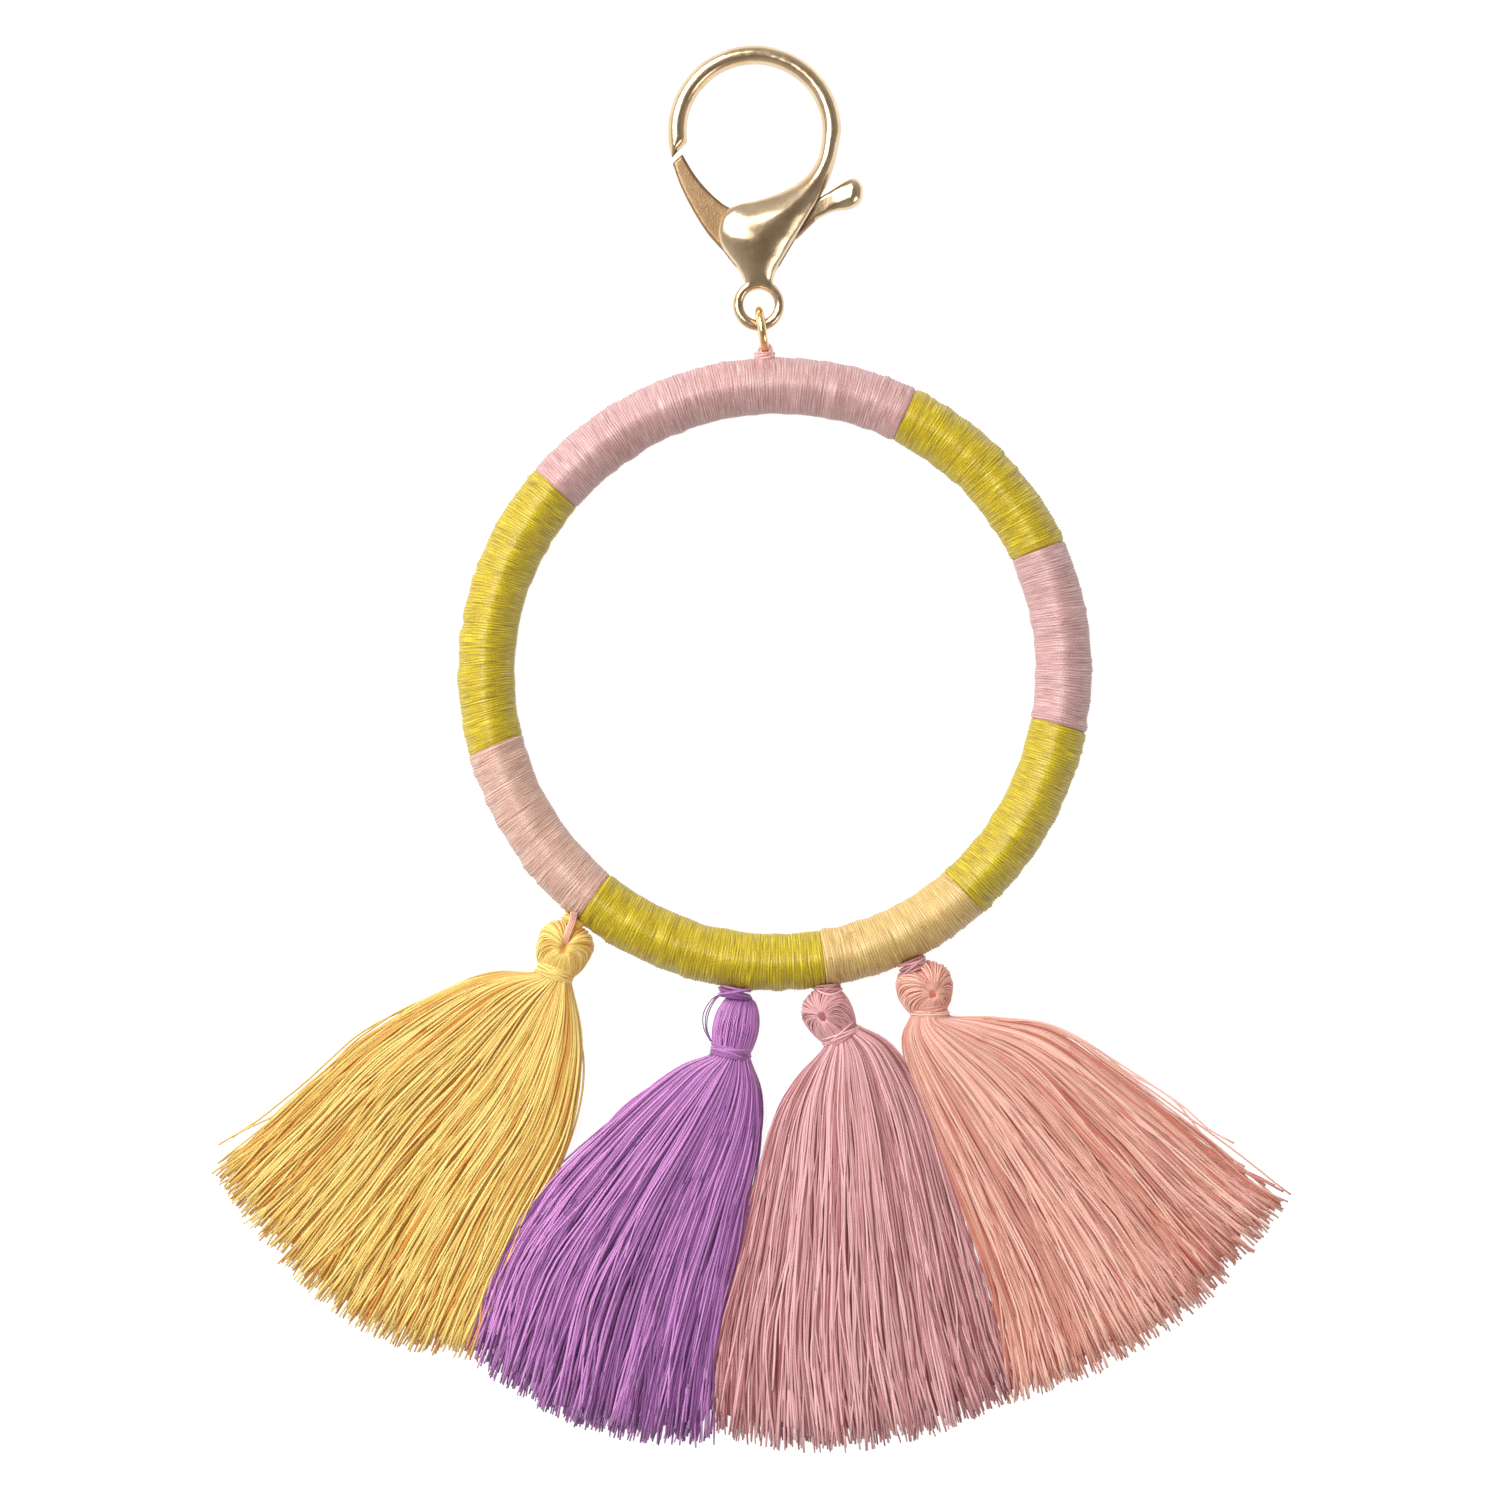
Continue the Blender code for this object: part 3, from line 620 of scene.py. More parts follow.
def wander(rng, paths, share, drift, crimp):
    """Lets strands drift and crimp sideways more and more towards the hem."""
    count, steps = paths.shape[:2]
    along = np.gradient(paths[..., :2], axis=1)
    sideways = unit(np.stack([-along[..., 1], along[..., 0]], -1))
    slow = smooth_noise(rng, (count,), steps, 8) * drift * share
    fast = smooth_noise(rng, (count,), steps, 2.4) * crimp * np.clip(share * 1.5 - 0.2, 0, 1)
    lift = smooth_noise(rng, (count,), steps, 5) * 0.1 * share
    curl = np.random.default_rng(count).normal(0, 0.5, (count, 1)) * np.clip(share * 5 - 4, 0, 1) ** 2
    paths[..., :2] += sideways * (slow + fast + curl)[..., None]
    paths[..., 2] = np.maximum(paths[..., 2] + lift, STRAND_RADIUS + 0.03)
    return paths


def skirt(name, spec, seed):
    """The loose yarn below the neck: a full fan, gathered here and there into locks."""
    rng = np.random.default_rng(seed)
    own = 2 * ((np.arange(STRANDS) + rng.uniform(0.0, 1.0, STRANDS)) / STRANDS) - 1
    upper = rng.random(STRANDS) < 0.62
    layer = np.where(upper, rng.uniform(0.5, 1.0, STRANDS), rng.uniform(-1, 0.5, STRANDS))
    locks = rng.uniform(-1, 1, CLUMPS)
    lock = np.abs(own[:, None] - locks[None]).argmin(1)
    pull = rng.uniform(0.0, 0.5, CLUMPS)[lock]
    short = rng.random(STRANDS) < 0.14
    uneven = rng.normal(0.018, 0.02, STRANDS) + rng.uniform(0, 0.12, STRANDS) * short
    uneven = uneven + np.abs(rng.normal(0, 0.014, CLUMPS))[lock]
    share = np.linspace(0, 1, STRAND_STEPS)[None] ** 1.35 * (1 - uneven)[:, None]
    gather = pull[:, None] * np.sin(pi * share * 0.6) ** 1.3
    side = own[:, None] + (locks[lock] - own)[:, None] * gather
    crossing = rng.random(STRANDS) < 0.3
    side = side + crossing[:, None] * rng.normal(0, 0.1, (STRANDS, 1)) * share**1.2
    layer = np.where(crossing & upper, 1.04, layer)
    side = np.clip(side, -1, 1)
    paths = wander(rng, fan(spec, side, layer[:, None], share), share, 0.6, 0.085)
    radii = np.interp(share, (0, 0.1, 0.4, 0.96, 1.0), (0.085, 0.115, 0.15, STRAND_RADIUS, 0.12))
    radii = radii * rng.uniform(0.8, 1.1, (STRANDS, 1))
    # Painted shade: upper strands are lighter and lower strands darker, by 0.2 for each unit of layer, on top
    # of random tone for each strand and each lock.
    tone_and_shade = 0.46 + 0.2 * layer + rng.normal(0, 0.2, STRANDS) + rng.normal(0, 0.06, CLUMPS)[lock]
    return yarn_tubes(name, spec, paths, radii, tone_and_shade, 4)


def skirt_filler(name, spec):
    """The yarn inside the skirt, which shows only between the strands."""
    columns = 28
    turn = 2 * pi * np.arange(columns) / columns
    share = np.array([0.0, 0.04, 0.1, 0.2, 0.35, 0.5, 0.65, 0.8, 0.9, 0.95])[:, None]
    points = fan(spec, 0.93 * np.cos(turn)[None], 0.62 * np.sign(np.sin(turn))[None], share)
    # kept dark, as painted shade between the strands
    return capped_rings(name, points, spec, 0.2)


def capped_rings(name, points, spec, tone_and_shade):
    """A closed skin over rings of points, in the tassel's yarn."""
    rows, columns = points.shape[:2]
    side, row = np.arange(columns), 0.3 * np.arange(rows - 1)[:, None]
    after = (side + 1) % columns
    corners = np.stack(np.broadcast_arrays(side, row, after, row, after, row, side, row), -1)
    uv = np.concatenate([corners.reshape(-1, 2), np.zeros((2 * columns, 2))])
    faces, shades = ring_faces(rows, columns, flip=True), np.full(rows * columns, tone_and_shade)
    return mesh_object(name, points, faces, YARN[spec["colour"]], uv, shades)


def strays(name, spec, seed):
    """A few single strands that stand clear of the rest."""
    rng = np.random.default_rng(seed + 50)
    count = 24
    side = rng.choice([-1.0, 1.0], count) * rng.uniform(0.95, 1.06, count)
    side[:8] = rng.uniform(-0.85, 0.85, 8)
    layer = np.where(np.arange(count) < 8, 1.1, rng.uniform(-0.3, 0.6, count))
    share = np.linspace(0, 1, STRAND_STEPS)[None] ** 1.35 * rng.uniform(0.8, 1.02, (count, 1))
    slip = rng.normal(0, 0.05, (count, 1)) * share**1.5
    paths = wander(rng, fan(spec, side[:, None] + slip, layer[:, None], share), share, 0.9, 0.12)
    return yarn_tubes(name, spec, paths, 0.14, rng.uniform(0.5, 0.95, count), 4)


def head_point(direction, spec):
    """Where a direction from the head's centre meets its lobed surface."""
    head, neck, axis, across = neck_frame(spec)
    length, width, height = spec["head_size"]
    at, slant, depth, stop = spec["fold"]
    x, y, z = direction[..., 0], direction[..., 1], direction[..., 2]
    reach = np.linalg.norm(neck[:2] - head[:2]) / sqrt(1 - (spec["neck_radius"] / width) ** 2)
    along = np.where(y < 0, y * length, y * reach)
    open_end = np.clip((stop - y) / 0.5, 0, 1) ** 0.7 * np.clip(z + 0.35, 0, 1)
    fold = 1 - depth * np.exp(-(((x - at - slant * y) / 0.16) ** 2)) * open_end
    lobes = 1 + 0.25 * depth * np.clip(-y, 0, 1) * np.clip(np.abs(x), 0, 0.8)
    scale = fold * lobes
    return (
        head
        + across * (x * width * scale)[..., None]
        + axis * (along * np.where(y < 0, scale, 1))[..., None]
        + UP * (z * height * fold)[..., None]
    )


def folded_lines(spec):
    """Lines on the unit sphere that fan out from the neck and meet again at the hole."""
    neck, hole = np.array([0.0, 1.0, 0.0]), unit(np.array(spec["hole"], float))
    first = unit(np.cross(hole, [0.3, 0.1, 1.0]) if abs(hole[2]) < 0.5 else np.cross(hole, neck))
    second = np.cross(hole, first)
    root = np.array([neck @ first, neck @ second]) / (1 - neck @ hole)
    middle = sqrt(1 + root @ root)
    spread = np.arcsin(spec["neck_radius"] / spec["head_size"][1])
    from_neck = np.log(np.tan(spread / 2) * middle)
    to_hole = np.log(1 / (np.tan(spec["mouth"] / 2) * middle))
    return first, second, hole, root, middle, from_neck, to_hole


def head_strands(name, spec, seed):
    """The folded yarn of the head: strands that rise from the neck and dive into the hole."""
    rng = np.random.default_rng(seed + 100)
    steps = 30
    count = HEAD_STRANDS
    first, second, hole, root, middle, from_neck, to_hole = folded_lines(spec)
    turn = (2 * pi * (np.arange(count) + rng.uniform(-0.25, 0.25, count)) / count)[:, None]
    grow = np.linspace(from_neck - 0.3, to_hole, steps)[None] + rng.normal(0, 0.04, (count, 1))
    turn = turn + smooth_noise(rng, (count,), steps, 10) * 0.025
    size = middle * np.exp(grow)
    flat_x = root[0] + size * np.cos(turn)
    flat_y = root[1] + size * np.sin(turn)
    square = flat_x**2 + flat_y**2
    sphere = (2 * flat_x)[..., None] * first + (2 * flat_y)[..., None] * second
    sphere = (sphere + (square - 1)[..., None] * hole) / (square + 1)[..., None]
    spacing = 2 * pi / count * size * 2 / (1 + square) * spec["head_size"][1]
    radii = np.clip(spacing * 0.66, 0.06, 0.15)
    points = head_point(sphere, spec)
    head = neck_frame(spec)[0]
    closed = spec["mouth"] < 0.3
    sink = np.interp(grow, (to_hole - 1.1, to_hole), (0.975, 0.72 if closed else 0.95))[..., None]
    points = head + (points - head) * sink
    points = points + unit(points - head) * rng.normal(0, 0.035, (count, 1, 1))
    # Painted shade: strands darken where they dive into the hole, more where the hole is closed.
    hole_shade = np.interp(grow, (to_hole - 0.5, to_hole), (0, 0.6 if closed else 0.2))
    tone_and_shade = 0.7 + rng.normal(0, 0.13, (count, 1)) - hole_shade
    return yarn_tubes(name, spec, points, radii, tone_and_shade, 5)


def filler(name, spec):
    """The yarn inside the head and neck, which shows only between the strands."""
    head, neck, axis, across = neck_frame(spec)
    columns = 36
    latitude = np.linspace(0.08, pi * 0.62, 18)[:, None]
    azimuth = 2 * pi * np.arange(columns) / columns
    x, z = np.sin(latitude) * np.cos(azimuth), np.sin(latitude) * np.sin(azimuth)
    direction = np.stack([x, -np.cos(latitude) * np.ones_like(azimuth), z], -1)
    points = head + (head_point(direction, spec) - head) * 0.94
    foot = []
    for offset, share in ((-0.9, 0.9), (0.0, 0.86), (0.9, 0.84), (2.6, 0.7)):
        radius = spec["neck_radius"] * share
        ring = across * np.cos(azimuth)[:, None] + UP * np.sin(azimuth)[:, None]
        foot.append(neck + axis * offset + radius * ring)
    points = np.concatenate([points, np.array(foot)])
    # kept dark, as painted shade between the strands
    return capped_rings(name, points, spec, 0.22)


def wound_rings(centre, axis, across, radius, length, turns, thread, rng, slants, flat=0.96):
    """Closed turns of thread round an axis. Each slant adds a turn that crosses the others."""
    paths = []
    angle = 2 * pi * np.arange(44) / 44
    for turn in range(turns + len(slants)):
        crossing = turn >= turns
        at = rng.uniform(-0.2, 0.2) if crossing else (turn + 0.5) / turns - 0.5
        slant = slants[turn - turns] if crossing else rng.normal(0, 0.07)
        wide = radius + rng.normal(0, 0.03) + (thread if crossing else 0)
        wobble = wide + 0.03 * np.sin(2 * angle + 1.7 * turn)
        along = np.clip(length * (at + slant * np.cos(angle)), -length / 2, length / 2)
        path = centre + axis * along[:, None] + across * (wobble * np.cos(angle))[:, None]
        paths.append(path + UP * (wobble * flat * np.sin(angle))[:, None])
    return np.array(paths)


def neck_band(name, spec, seed):
    """Thread wound round the neck, with a few last turns that cross the others."""
    rng = np.random.default_rng(seed + 150)
    _, neck, axis, across = neck_frame(spec)
    slants = (0.3, -0.28, 0.22, 0.36)
    paths = wound_rings(neck, axis, across, spec["neck_radius"] + 0.1, 1.6, 10, 0.09, rng, slants)
    # The band's strands are set lighter than the skirt's, as a painted silky highlight.
    return yarn_tubes(name, spec, paths, 0.115, rng.normal(0.72, 0.15, len(paths)), 6, closed=True)


def collar(name, spec, seed):
    """The tied collar between the bangle and the head: a few tight turns of thread."""
    rng = np.random.default_rng(seed + 200)
    (x, y), tilt, radius, length, colour = spec["collar"]
    lean = radians(tilt)
    across = np.array([cos(lean), -sin(lean), 0])
    axis = np.array([-sin(lean), -cos(lean), 0])
    centre = np.array([x, y, CENTRE[2] / MM])
    turns = int(length / 0.3)
    paths = wound_rings(centre, axis, across, radius, length, turns, 0.15, rng, (0.3, -0.4), 0.85)
    tone_and_shade = rng.uniform(0.35, 0.85, len(paths))
    return tube_object(name, paths, 0.155, YARN[colour], tone_and_shade, sides=6, closed=True)


def make_tassel(colour, spec, seed):
    body = f"tassel_{colour}"
    spec["colour"] = colour
    loose = skirt(f"{colour}_loose", spec, seed)
    skirt_piece = join(f"{colour}_skirt", [loose, skirt_filler(f"{colour}_inside", spec)])
    stray_piece = strays(f"{colour}_strays", spec, seed)
    folds = head_strands(f"{colour}_folds", spec, seed)
    head_piece = join(f"{colour}_head", [folds, filler(f"{colour}_filler", spec)])
    band_piece = neck_band(f"{colour}_band", spec, seed)
    collar_piece = collar(f"{colour}_collar", spec, seed)
    for piece in (skirt_piece, stray_piece, head_piece, band_piece, collar_piece):
        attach(piece, body)
    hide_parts(f"{body}_strands")
    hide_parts(f"{body}_neck_band")
    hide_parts(f"{body}_hanger")


def make_ribbon():
    """The end of the peach thread: it leaves the bangle and dives into the yellow head's fold."""
    rng = np.random.default_rng(31)
    line = smooth_line(RIBBON_PATH, 8)
    along = np.gradient(line, axis=0)
    sideways = unit(np.stack([-along[:, 1], along[:, 0], 0 * along[:, 0]], -1))
    paths = [line + sideways * offset + UP * rng.normal(0, 0.04) for offset in (-0.33, -0.11, 0.11, 0.33)]
    ribbon = tube_object("yellow_ribbon", paths, 0.14, YARN["peach"], rng.uniform(0.4, 0.8, 4), sides=6)
    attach(ribbon, "tassel_yellow")


def make_loose_loops():
    """Thin loops of thread that hang beside the purple head."""
    rng = np.random.default_rng(32)
    paths = []
    for slip in (0.0, 0.3, 0.75):
        x, y = LOOSE_LOOP[:, 0] - slip * LOOSE_BULGE, LOOSE_LOOP[:, 1]
        points = np.stack([x, y, LOOSE_LOOP[:, 2] - slip], -1)
        paths.append(smooth_line(points, 8))
    loops = tube_object("purple_loops", paths, 0.09, YARN["purple"], rng.uniform(0.2, 0.6, 3), sides=5)
    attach(loops, "tassel_purple")


def make_rose_arcs():
    """Two bright turns of thread over the rose collar."""
    angle = 2 * pi * np.arange(40) / 40
    paths = []
    for lean, wide, shift in ((0.16, 1.62, 0.0), (-0.1, 1.4, 0.35)):
        x = 7.35 + shift + wide * np.cos(angle)
        y = -43.25 - 0.45 * np.sin(angle) - lean * np.cos(angle) * 2
        z = 4.1 + 1.5 * np.sin(angle)
        paths.append(np.stack([x, y, z], -1))
    arcs = tube_object("rose_arcs", paths, 0.15, YARN["rose"], np.array([0.95, 0.85]), sides=6, closed=True)
    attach(arcs, "tassel_rose")


# ---------------------------------------------------------------------------- clasp and ring

HOOK_CENTRE = (-2.65, 73.4)
HOOK_OUTER = 11.8
HOOK_INNER = 9.22
HOOK_PROFILE = (0.3, 1.5, 1.27)
EYE_CENTRE = (-2.1, 49.85)
EYE_OUTER = 3.5
EYE_HOLE = 2.1
NECK_ANGLE = 58
SLOT_HALF = 1.4
LEVER_HALF = 1.1
TAB_START = 5.5
# a casting: its points' spacing, how square its rounding is, and its rows of points along the edge
CAST_SPACING = 0.2
DOME_POWER = 0.6
DOME_RINGS = (0.06, 0.14, 0.24, 0.37, 0.54, 0.75)
LEVER_RINGS = (0.06, 0.14, 0.26, 0.4)
RING_FOOT = (-1.2, 43.65, RING_Z)
RING_RADIUS = 2.8
RING_WIRE = 0.58
RING_LEAN = radians(9)
RING_SPLIT = radians(4)
LOOP_TURNS = 14


def arc(centre, radius, start, end, count):
    turn = np.radians(np.linspace(start, end, count))
    return np.stack([centre[0] + radius * np.cos(turn), centre[1] + radius * np.sin(turn)], -1)


def smooth_line(points, per=8):
    """A Catmull-Rom curve through given points."""
    points = np.asarray(points, float)
    padded = np.concatenate([2 * points[:1] - points[1:2], points, 2 * points[-1:] - points[-2:-1]])
    t = np.linspace(0, 1, per, endpoint=False)[:, None]
    made = []
    for a, b, c, d in zip(padded, padded[1:], padded[2:], padded[3:]):
        square, cube = 2 * a - 5 * b + 4 * c - d, 3 * b - a - 3 * c + d
        made.append(0.5 * (2 * b + (c - a) * t + square * t**2 + cube * t**3))
    return np.concatenate([*made, points[-1:]])


def resample(loop):
    """A closed loop as evenly spaced points."""
    closed = np.concatenate([loop, loop[:1]])
    steps = np.linalg.norm(np.diff(closed, axis=0), axis=1)
    length = np.concatenate([[0], np.cumsum(steps)])
    count = int(length[-1] / CAST_SPACING)
    at = np.linspace(0, length[-1], count, endpoint=False)
    return np.stack([np.interp(at, length, closed[:, axis]) for axis in (0, 1)], -1)


def edge_distance(points, loops):
    """The distance from each point to the nearest loop edge."""
    best = np.full(len(points), 1e9)
    for loop in loops:
        start, end = loop, np.roll(loop, -1, axis=0)
        run = end - start
        size = (run**2).sum(1)
        for part in range(0, len(points), 4000):
            rel = points[part : part + 4000, None] - start[None]
            share = np.clip((rel * run).sum(-1) / size, 0, 1)
            gap = np.linalg.norm(rel - share[..., None] * run, axis=-1).min(1)
            best[part : part + 4000] = np.minimum(best[part : part + 4000], gap)
    return best


def inside(points, loops):
    """True where a point is inside the first loop and outside the rest."""
    result = np.ones(len(points), bool)
    for number, loop in enumerate(loops):
        start, end = loop, np.roll(loop, -1, axis=0)
        x, y = points[:, :1], points[:, 1:]
        crosses = (start[:, 1] > y) != (end[:, 1] > y)
        with np.errstate(divide="ignore", invalid="ignore"):
            at = start[:, 0] + (y - start[:, 1]) * (end[:, 0] - start[:, 0]) / (end[:, 1] - start[:, 1])
        odd = (crosses & (x < at)).sum(1) % 2 == 1
        result &= odd if number == 0 else ~odd
    return result


def fill_points(loops, rings):
    """Points between the loops: rows that follow each edge, and a triangular grid for the rest."""
    pitch = CAST_SPACING * 1.6
    low, high = loops[0].min(0), loops[0].max(0)
    across, up = np.arange(low[0], high[0], pitch), np.arange(low[1], high[1], pitch * 0.866)
    grid = [(x + (row % 2) * CAST_SPACING * 0.8, y) for row, y in enumerate(up) for x in across]
    grid = np.array(grid)[inside(np.array(grid), loops)]
    found = [grid[edge_distance(grid, loops) > rings[-1] + CAST_SPACING * 0.6]]
    for loop in loops:
        tangent = np.roll(loop, -1, axis=0) - np.roll(loop, 1, axis=0)
        normal = unit(np.stack([-tangent[:, 1], tangent[:, 0]], -1))
        for offset in rings:
            for sign in (-1, 1):
                moved = loop + normal * offset * sign
                keep = inside(moved, loops) & (edge_distance(moved, loops) > offset * 0.96)
                found.append(moved[keep])
    return np.concatenate(found)


def triangulate(loops, rings):
    """The flat shape between the loops, as points and triangles."""
    flat = np.concatenate([*loops, fill_points(loops, rings)])
    edges = []
    first = 0
    for loop in loops:
        size = len(loop)
        edges += [(first + i, first + (i + 1) % size) for i in range(size)]
        first += size
    points, _, faces, *_ = delaunay_2d_cdt([Vector(p) for p in flat], edges, [], 0, 1e-5)
    points = np.array([point[:] for point in points])
    centres = np.array([points[list(face)].mean(0) for face in faces])
    return points, [face for face, good in zip(faces, inside(centres, loops)) if good]


def inflated(name, loops, profile, material, dome_top=1.0, rings=DOME_RINGS, relax=8):
    """A rounded casting from flat outlines. profile gives its half thickness at the edge and in
    the middle, and the rounding's width. dome_top stretches the top half only."""
    loops = [resample(loop) for loop in loops]
    flat, faces = triangulate(loops, rings)
    edge_half, middle_half, width = profile(flat)
    share = np.clip(edge_distance(flat, loops) / width, 0, 1)
    half = edge_half + (middle_half - edge_half) * (1 - (1 - share) ** 2) ** DOME_POWER
    work = bmesh.new()
    top = [work.verts.new((x, y, h)) for (x, y), h in zip(flat, half)]
    for face in faces:
        work.faces.new([top[i] for i in face])
    loose = [vert for vert in work.verts if not vert.link_faces]
    bmesh.ops.delete(work, geom=loose, context="VERTS")
    bmesh.ops.recalc_face_normals(work, faces=work.faces)
    if sum(face.normal.z for face in work.faces) < 0:
        bmesh.ops.reverse_faces(work, faces=work.faces)
    middle = [vert for vert in work.verts if not any(edge.is_boundary for edge in vert.link_edges)]
    axes = {f"use_axis_{axis}": True for axis in "xyz"}
    for _ in range(relax):
        bmesh.ops.smooth_vert(work, verts=middle, factor=0.5, **axes)
    mirrored = bmesh.ops.duplicate(work, geom=work.verts[:] + work.edges[:] + work.faces[:])
    for vert in [part for part in mirrored["geom"] if isinstance(part, bmesh.types.BMVert)]:
        vert.co.z *= -1
    for vert in middle:
        vert.co.z *= dome_top
    underside = [part for part in mirrored["geom"] if isinstance(part, bmesh.types.BMFace)]
    bmesh.ops.reverse_faces(work, faces=underside)
    twin = mirrored["vert_map"]
    for edge in [edge for edge in work.edges if edge.is_boundary]:
        a, b = edge.verts
        if a.co.z > 0 and b.co.z > 0:
            work.faces.new((a, b, twin[b], twin[a]))
    bmesh.ops.recalc_face_normals(work, faces=work.faces)
    bmesh.ops.scale(work, vec=(MM, MM, MM), verts=work.verts)
    bmesh.ops.translate(work, vec=(CENTRE[0], CENTRE[1], CLASP_Z * MM), verts=work.verts)
    obj = object_from(name, work)
    obj.data.shade_smooth()
    obj.data.materials.append(material)
    return obj


def clasp_outline():
    """The clasp's outer loop: hook, body and eye, anticlockwise from the hook's tip."""
    right = smooth_line(
        [(9.15, 73.4), (8.3, 69.3), (7.05, 65.9), (4.95, 62.3), (3.1, 59.3), (1.6, 56.8), (0.1, 54.1),
         (-0.15, 53.0)]
    )
    left = smooth_line(
        [(-4.05, 53.0), (-4.9, 54.7), (-6.9, 57.4), (-7.5, 58.9), (-7.55, 60.3), (-7.05, 61.9), (-5.85, 63.0)]
    )
    rim = smooth_line(
        [(-5.85, 63.0), (-4.4, 63.5), (-2.5, 63.9), (-0.3, 64.6), (1.9, 65.6), (3.9, 67.0), (5.3, 68.6),
         (6.2, 70.7), (6.57, 73.4)]
    )
    outer = arc(HOOK_CENTRE, HOOK_OUTER, 197.5, 0, 110)
    inner = arc(HOOK_CENTRE, HOOK_INNER, 0, 188.5, 90)
    eye = arc(EYE_CENTRE, EYE_OUTER, NECK_ANGLE, -180 - NECK_ANGLE, 60)
    return np.concatenate([outer, right[1:], eye, left, rim[1:], inner[1:]])


def clasp_profile(points):
    """The body is thickest over the pivot, and the hook is round all the way."""
    x, y = points[:, 0], points[:, 1]
    edge = np.interp(y, (50, 53, 56, 60, 63.5, 67, 71), (0.5, 0.8, 1.5, 1.65, 1.6, 0.5, 0.3))
    middle = np.interp(y, (50, 53, 55.5, 58.5, 62, 66, 70, 73), (1, 1.5, 2.5, 3.15, 3.2, 2.6, 1.8, 1.5))
    width = np.interp(y, (52, 54, 57, 60, 63, 68, 72), (0.65, 2.0, 3.8, 5.2, 4.6, 1.9, 1.27))
    hook = (y > 66) & (x < 3)
    return [np.where(hook, *pair) for pair in zip(HOOK_PROFILE, (edge, middle, width))]


def slot_cutter():
    """The gap between the clasp's cheeks, where the lever turns."""
    points = [(-11, 55.0), (9.5, 55.0), (9.5, 66.6), (0.2, 62.6), (-1.9, 62.6), (-2.4, 66.5), (-11, 66.5)]
    work = bmesh.new()
    low = [work.verts.new(world((x, y, CLASP_Z - SLOT_HALF))) for x, y in points]
    high = [work.verts.new(world((x, y, CLASP_Z + SLOT_HALF))) for x, y in points]
    work.faces.new(low[::-1])
    work.faces.new(high)
    for a, b, c, d in zip(low, low[1:] + low[:1], high[1:] + high[:1], high):
        work.faces.new((a, b, c, d))
    bmesh.ops.recalc_face_normals(work, faces=work.faces)
    return object_from("slot_cutter", work)


def apply_cut(obj, cutter):
    modifier = obj.modifiers.new("cut", "BOOLEAN")
    modifier.operation = "DIFFERENCE"
    modifier.object = cutter
    modifier.solver = "EXACT"
    bpy.context.view_layer.update()
    graph = bpy.context.evaluated_depsgraph_get()
    cut = bpy.data.meshes.new_from_object(obj.evaluated_get(graph))
    obj.modifiers.clear()
    obj.data = cut
    bpy.data.objects.remove(cutter)
    cut.shade_smooth()
    cut.set_sharp_from_angle(angle=radians(38))


def make_clasp():
    hole = arc(EYE_CENTRE, EYE_HOLE, 0, 360, 61)[:-1] + 0.05
    body = inflated("clasp_casting", [clasp_outline(), hole], clasp_profile, GOLD, dome_top=1.15)
    apply_cut(body, slot_cutter())
    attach(body, "clasp")
    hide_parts("clasp_body")
    repaint("pivot_pin", STEEL)
    repaint("gate_spring", STEEL)


def lever_profile(points):
    x = points[:, 0]
    edge = np.interp(x, (7.0, 9.5), (0.78, 0.5))
    middle = np.interp(x, (6.8, 8.4, 10.6), (LEVER_HALF, 1.2, 1.75))
    width = np.interp(x, (7.0, 9.5), (0.32, 1.6))
    return edge, middle, width


def make_lever():
    """The lever that closes the hook, dull where it is flat and polished on its thumb tab."""
    arm = [(-12.43, 70.28), (-10.9, 67.7), (-9.3, 65.7), (-7.5, 64.0), (-5.9, 63.0), (-2.3, 62.1), (0.5, 62.0)]
    tab = [(4.0, 63.2), (6.9, 64.8), (9.85, 66.75), (11.0, 67.02), (11.9, 66.3), (12.12, 65.2), (11.8, 63.9)]
    under = [(10.5, 63.0), (8.3, 62.7), (6.1, 61.7), (4.5, 60.3), (3.0, 58.9), (0.6, 57.7), (-2.3, 57.2)]
    outer = [(-4.6, 56.9), (-6.4, 57.05), (-7.3, 57.65), (-9.3, 60.0), (-11.1, 62.9), (-12.7, 66.1)]
    loop = smooth_line([*arm, *tab, *under, *outer, (-13.77, 69.08)])
    lever = inflated("lever_casting", [loop], lever_profile, GOLD_FLAT, rings=LEVER_RINGS, relax=2)
    lever.data.set_sharp_from_angle(angle=radians(50))
    lever.data.materials.append(GOLD)
    for face in lever.data.polygons:
        face.material_index = int(face.center.x > CENTRE[0] + TAB_START * MM)
    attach(lever, "gate")
    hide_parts("gate_lever")


def make_ring():
    """The split jump ring, upright through the thread loop and the eye."""
    out = np.array([-sin(RING_LEAN), cos(RING_LEAN), 0])
    turn = np.linspace(RING_SPLIT / 2, 2 * pi - RING_SPLIT / 2, 64)
    path = RING_FOOT + RING_RADIUS * (out * (1 - np.cos(turn))[:, None] + UP * np.sin(turn)[:, None])
    ring = tube_object("ring_wire", [path], RING_WIRE, GOLD_WIRE, [0.5], sides=20)
    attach(ring, "ring")
    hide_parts("jump_ring")


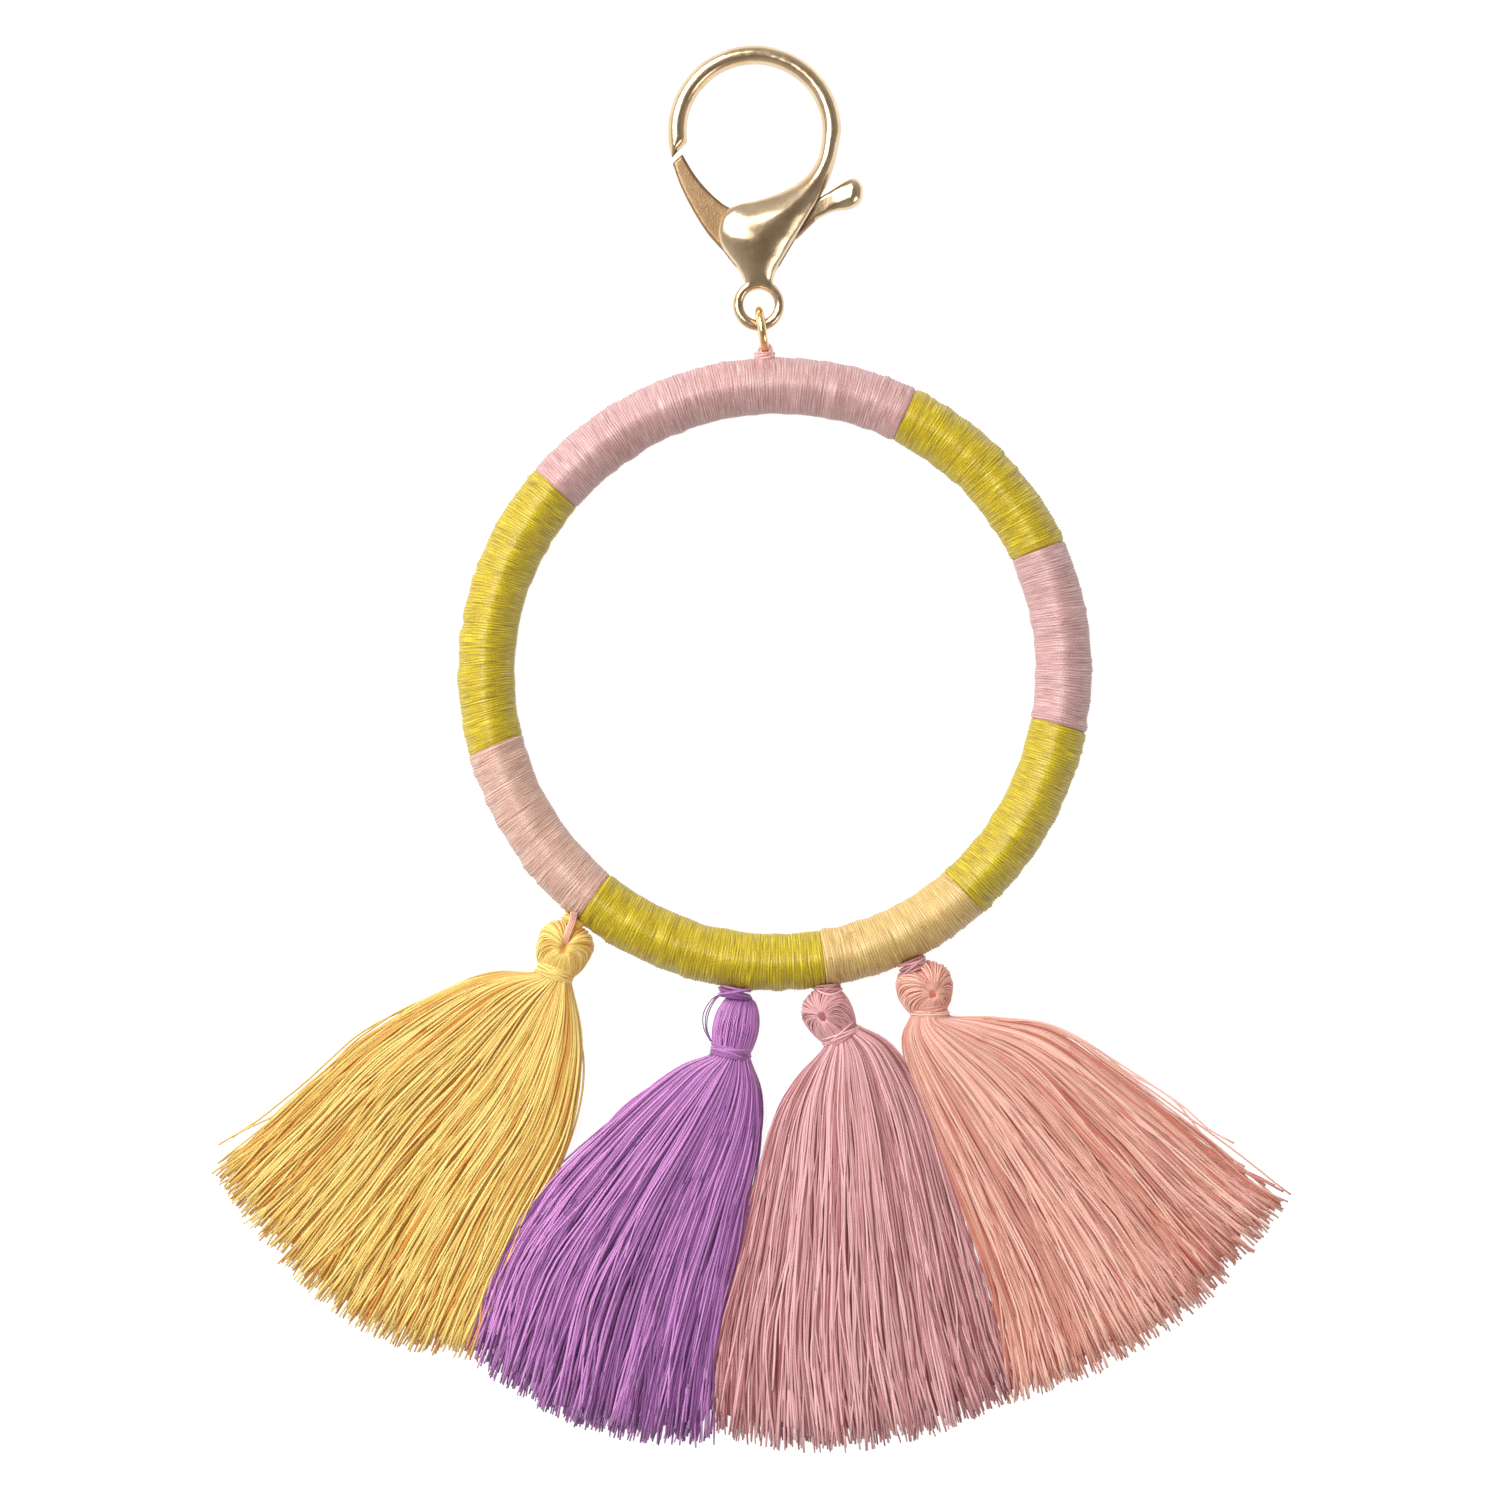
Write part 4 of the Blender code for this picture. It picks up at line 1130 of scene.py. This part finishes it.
def make_thread_loop():
    """A lump of thread on the bangle's top that the jump ring goes through."""
    rng = np.random.default_rng(9)
    paths = []
    foot = BANGLE_RADIUS + TUBE_RADIUS - 0.35
    t = np.linspace(0, pi, 26)
    for turn in range(LOOP_TURNS):
        layer = turn % 2
        wide = (0.72 if layer else 1.0) + rng.normal(0, 0.05)
        high = (1.75 if layer else 2.1) + rng.normal(0, 0.08)
        z = RING_Z - 1.25 + 0.19 * turn
        lean = rng.normal(0, 0.12)
        x = -1.25 + wide * np.cos(t) + lean * np.sin(t)
        y = foot + high * np.sin(t) ** 0.6
        paths.append(np.stack([x, y, np.full_like(x, z) + 0.12 * np.sin(2 * t)], -1))
    tone_and_shade = rng.uniform(0.4, 0.8, LOOP_TURNS)
    arches = tube_object("loop_arches", paths, 0.19, YARN["pink"], tone_and_shade, sides=6)
    centre = np.array([-1.3, foot + 0.55, RING_Z])
    across, axis = np.array([1.0, 0.06, 0.0]), np.array([-0.06, 1.0, 0.0])
    turns = wound_rings(centre, axis, across, 1.25, 0.9, 4, 0.1, rng, (0.3,), 1.2)
    tone_and_shade = rng.uniform(0.4, 0.8, len(turns))
    binding = tube_object("loop_binding", turns, 0.16, YARN["pink"], tone_and_shade, sides=6, closed=True)
    loop = join("loop_thread", [arches, binding])
    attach(loop, "bangle")
    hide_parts("thread_loop")


# ---------------------------------------------------------------------------- studio

FRAME_WIDTH = 204.0
VIEW_CENTRE = (-3.26, -10.6, 3.0)


def make_floor():
    n = material_nodes("paper_floor")
    at = n.add("TexCoord").outputs["Object"]
    tone = n.ramp(n.noise(at, 60.0, 3.0), ((0.3, (0.28, 0.28, 0.28, 1)), (0.7, (0.3, 0.3, 0.3, 1))))
    material = n.set(Base_Color=tone, Roughness=0.9, Emission_Color=(1, 1, 1, 1), Emission_Strength=0.9)
    bpy.ops.mesh.primitive_plane_add(size=3.0, location=(0, 0, -0.0002))
    floor = bpy.context.object
    floor.name = "floor"
    floor.data.materials.append(material)


def area_light(name, location, size, power, colour=(1, 1, 1)):
    light = bpy.data.lights.new(name, "AREA")
    light.shape = "RECTANGLE"
    light.size, light.size_y = size
    light.energy = power
    light.color = colour
    obj = place(name, light)
    obj.location = location
    obj.rotation_euler = (-Vector(location)).to_track_quat("-Z", "Y").to_euler()


def make_world():
    """A studio room: bright low down and to the upper left, dim overhead and to the right."""
    world_data = bpy.data.worlds.new("studio")
    bpy.context.scene.world = world_data
    n = Nodes(world_data, "Background")
    toward = n.add("TexCoord").outputs["Generated"]
    up = n.add("SeparateXYZ", {"Vector": toward}).outputs["Z"]
    height = n.ramp(up, ((0.45, (0.95, 0.94, 0.93, 1)), (0.92, (0.5, 0.44, 0.38, 1))))
    bright_side = Vector((-0.7, 0.5, 0.0)).normalized()
    facing = n.add("VectorMath", {0: toward, 1: bright_side}, operation="DOT_PRODUCT").outputs["Value"]
    share = n.add("MapRange", {"Value": facing, "From Min": -1.0}).outputs["Result"]
    sideways = n.ramp(share, ((0.0, (0.5, 0.48, 0.46, 1)), (0.7, (1.0, 1.0, 1.0, 1))))
    n.set(Color=n.mix(1.0, height, sideways, "MULTIPLY"), Strength=0.7)


def make_camera():
    """Straight above the flat lay, at the distance where the view is FRAME_WIDTH across."""
    camera = bpy.data.cameras.new("camera")
    camera.lens = 100
    camera.sensor_width = 36
    camera.clip_end = 10
    distance = FRAME_WIDTH * MM * camera.lens / camera.sensor_width
    obj = place("camera", camera)
    obj.location = Vector(world(VIEW_CENTRE)) + Vector((0, 0, distance))
    bpy.context.scene.camera = obj


def make_studio():
    make_floor()
    make_world()
    area_light("key", (-0.46, 0.42, 0.66), (0.7, 0.7), 11.0)
    area_light("card", (-0.36, 0.12, 0.85), (0.34, 0.5), 2.6)
    area_light("fill", (0.7, -0.45, 0.5), (0.4, 0.4), 1.5)
    make_camera()
    view = bpy.context.scene.view_settings
    view.view_transform = "Standard"
    view.look = "None"


make_bangle()
for number, (colour, spec) in enumerate(TASSELS.items()):
    make_tassel(colour, spec, number)
make_ribbon()
make_loose_loops()
make_rose_arcs()
make_clasp()
make_lever()
make_ring()
make_thread_loop()
make_studio()
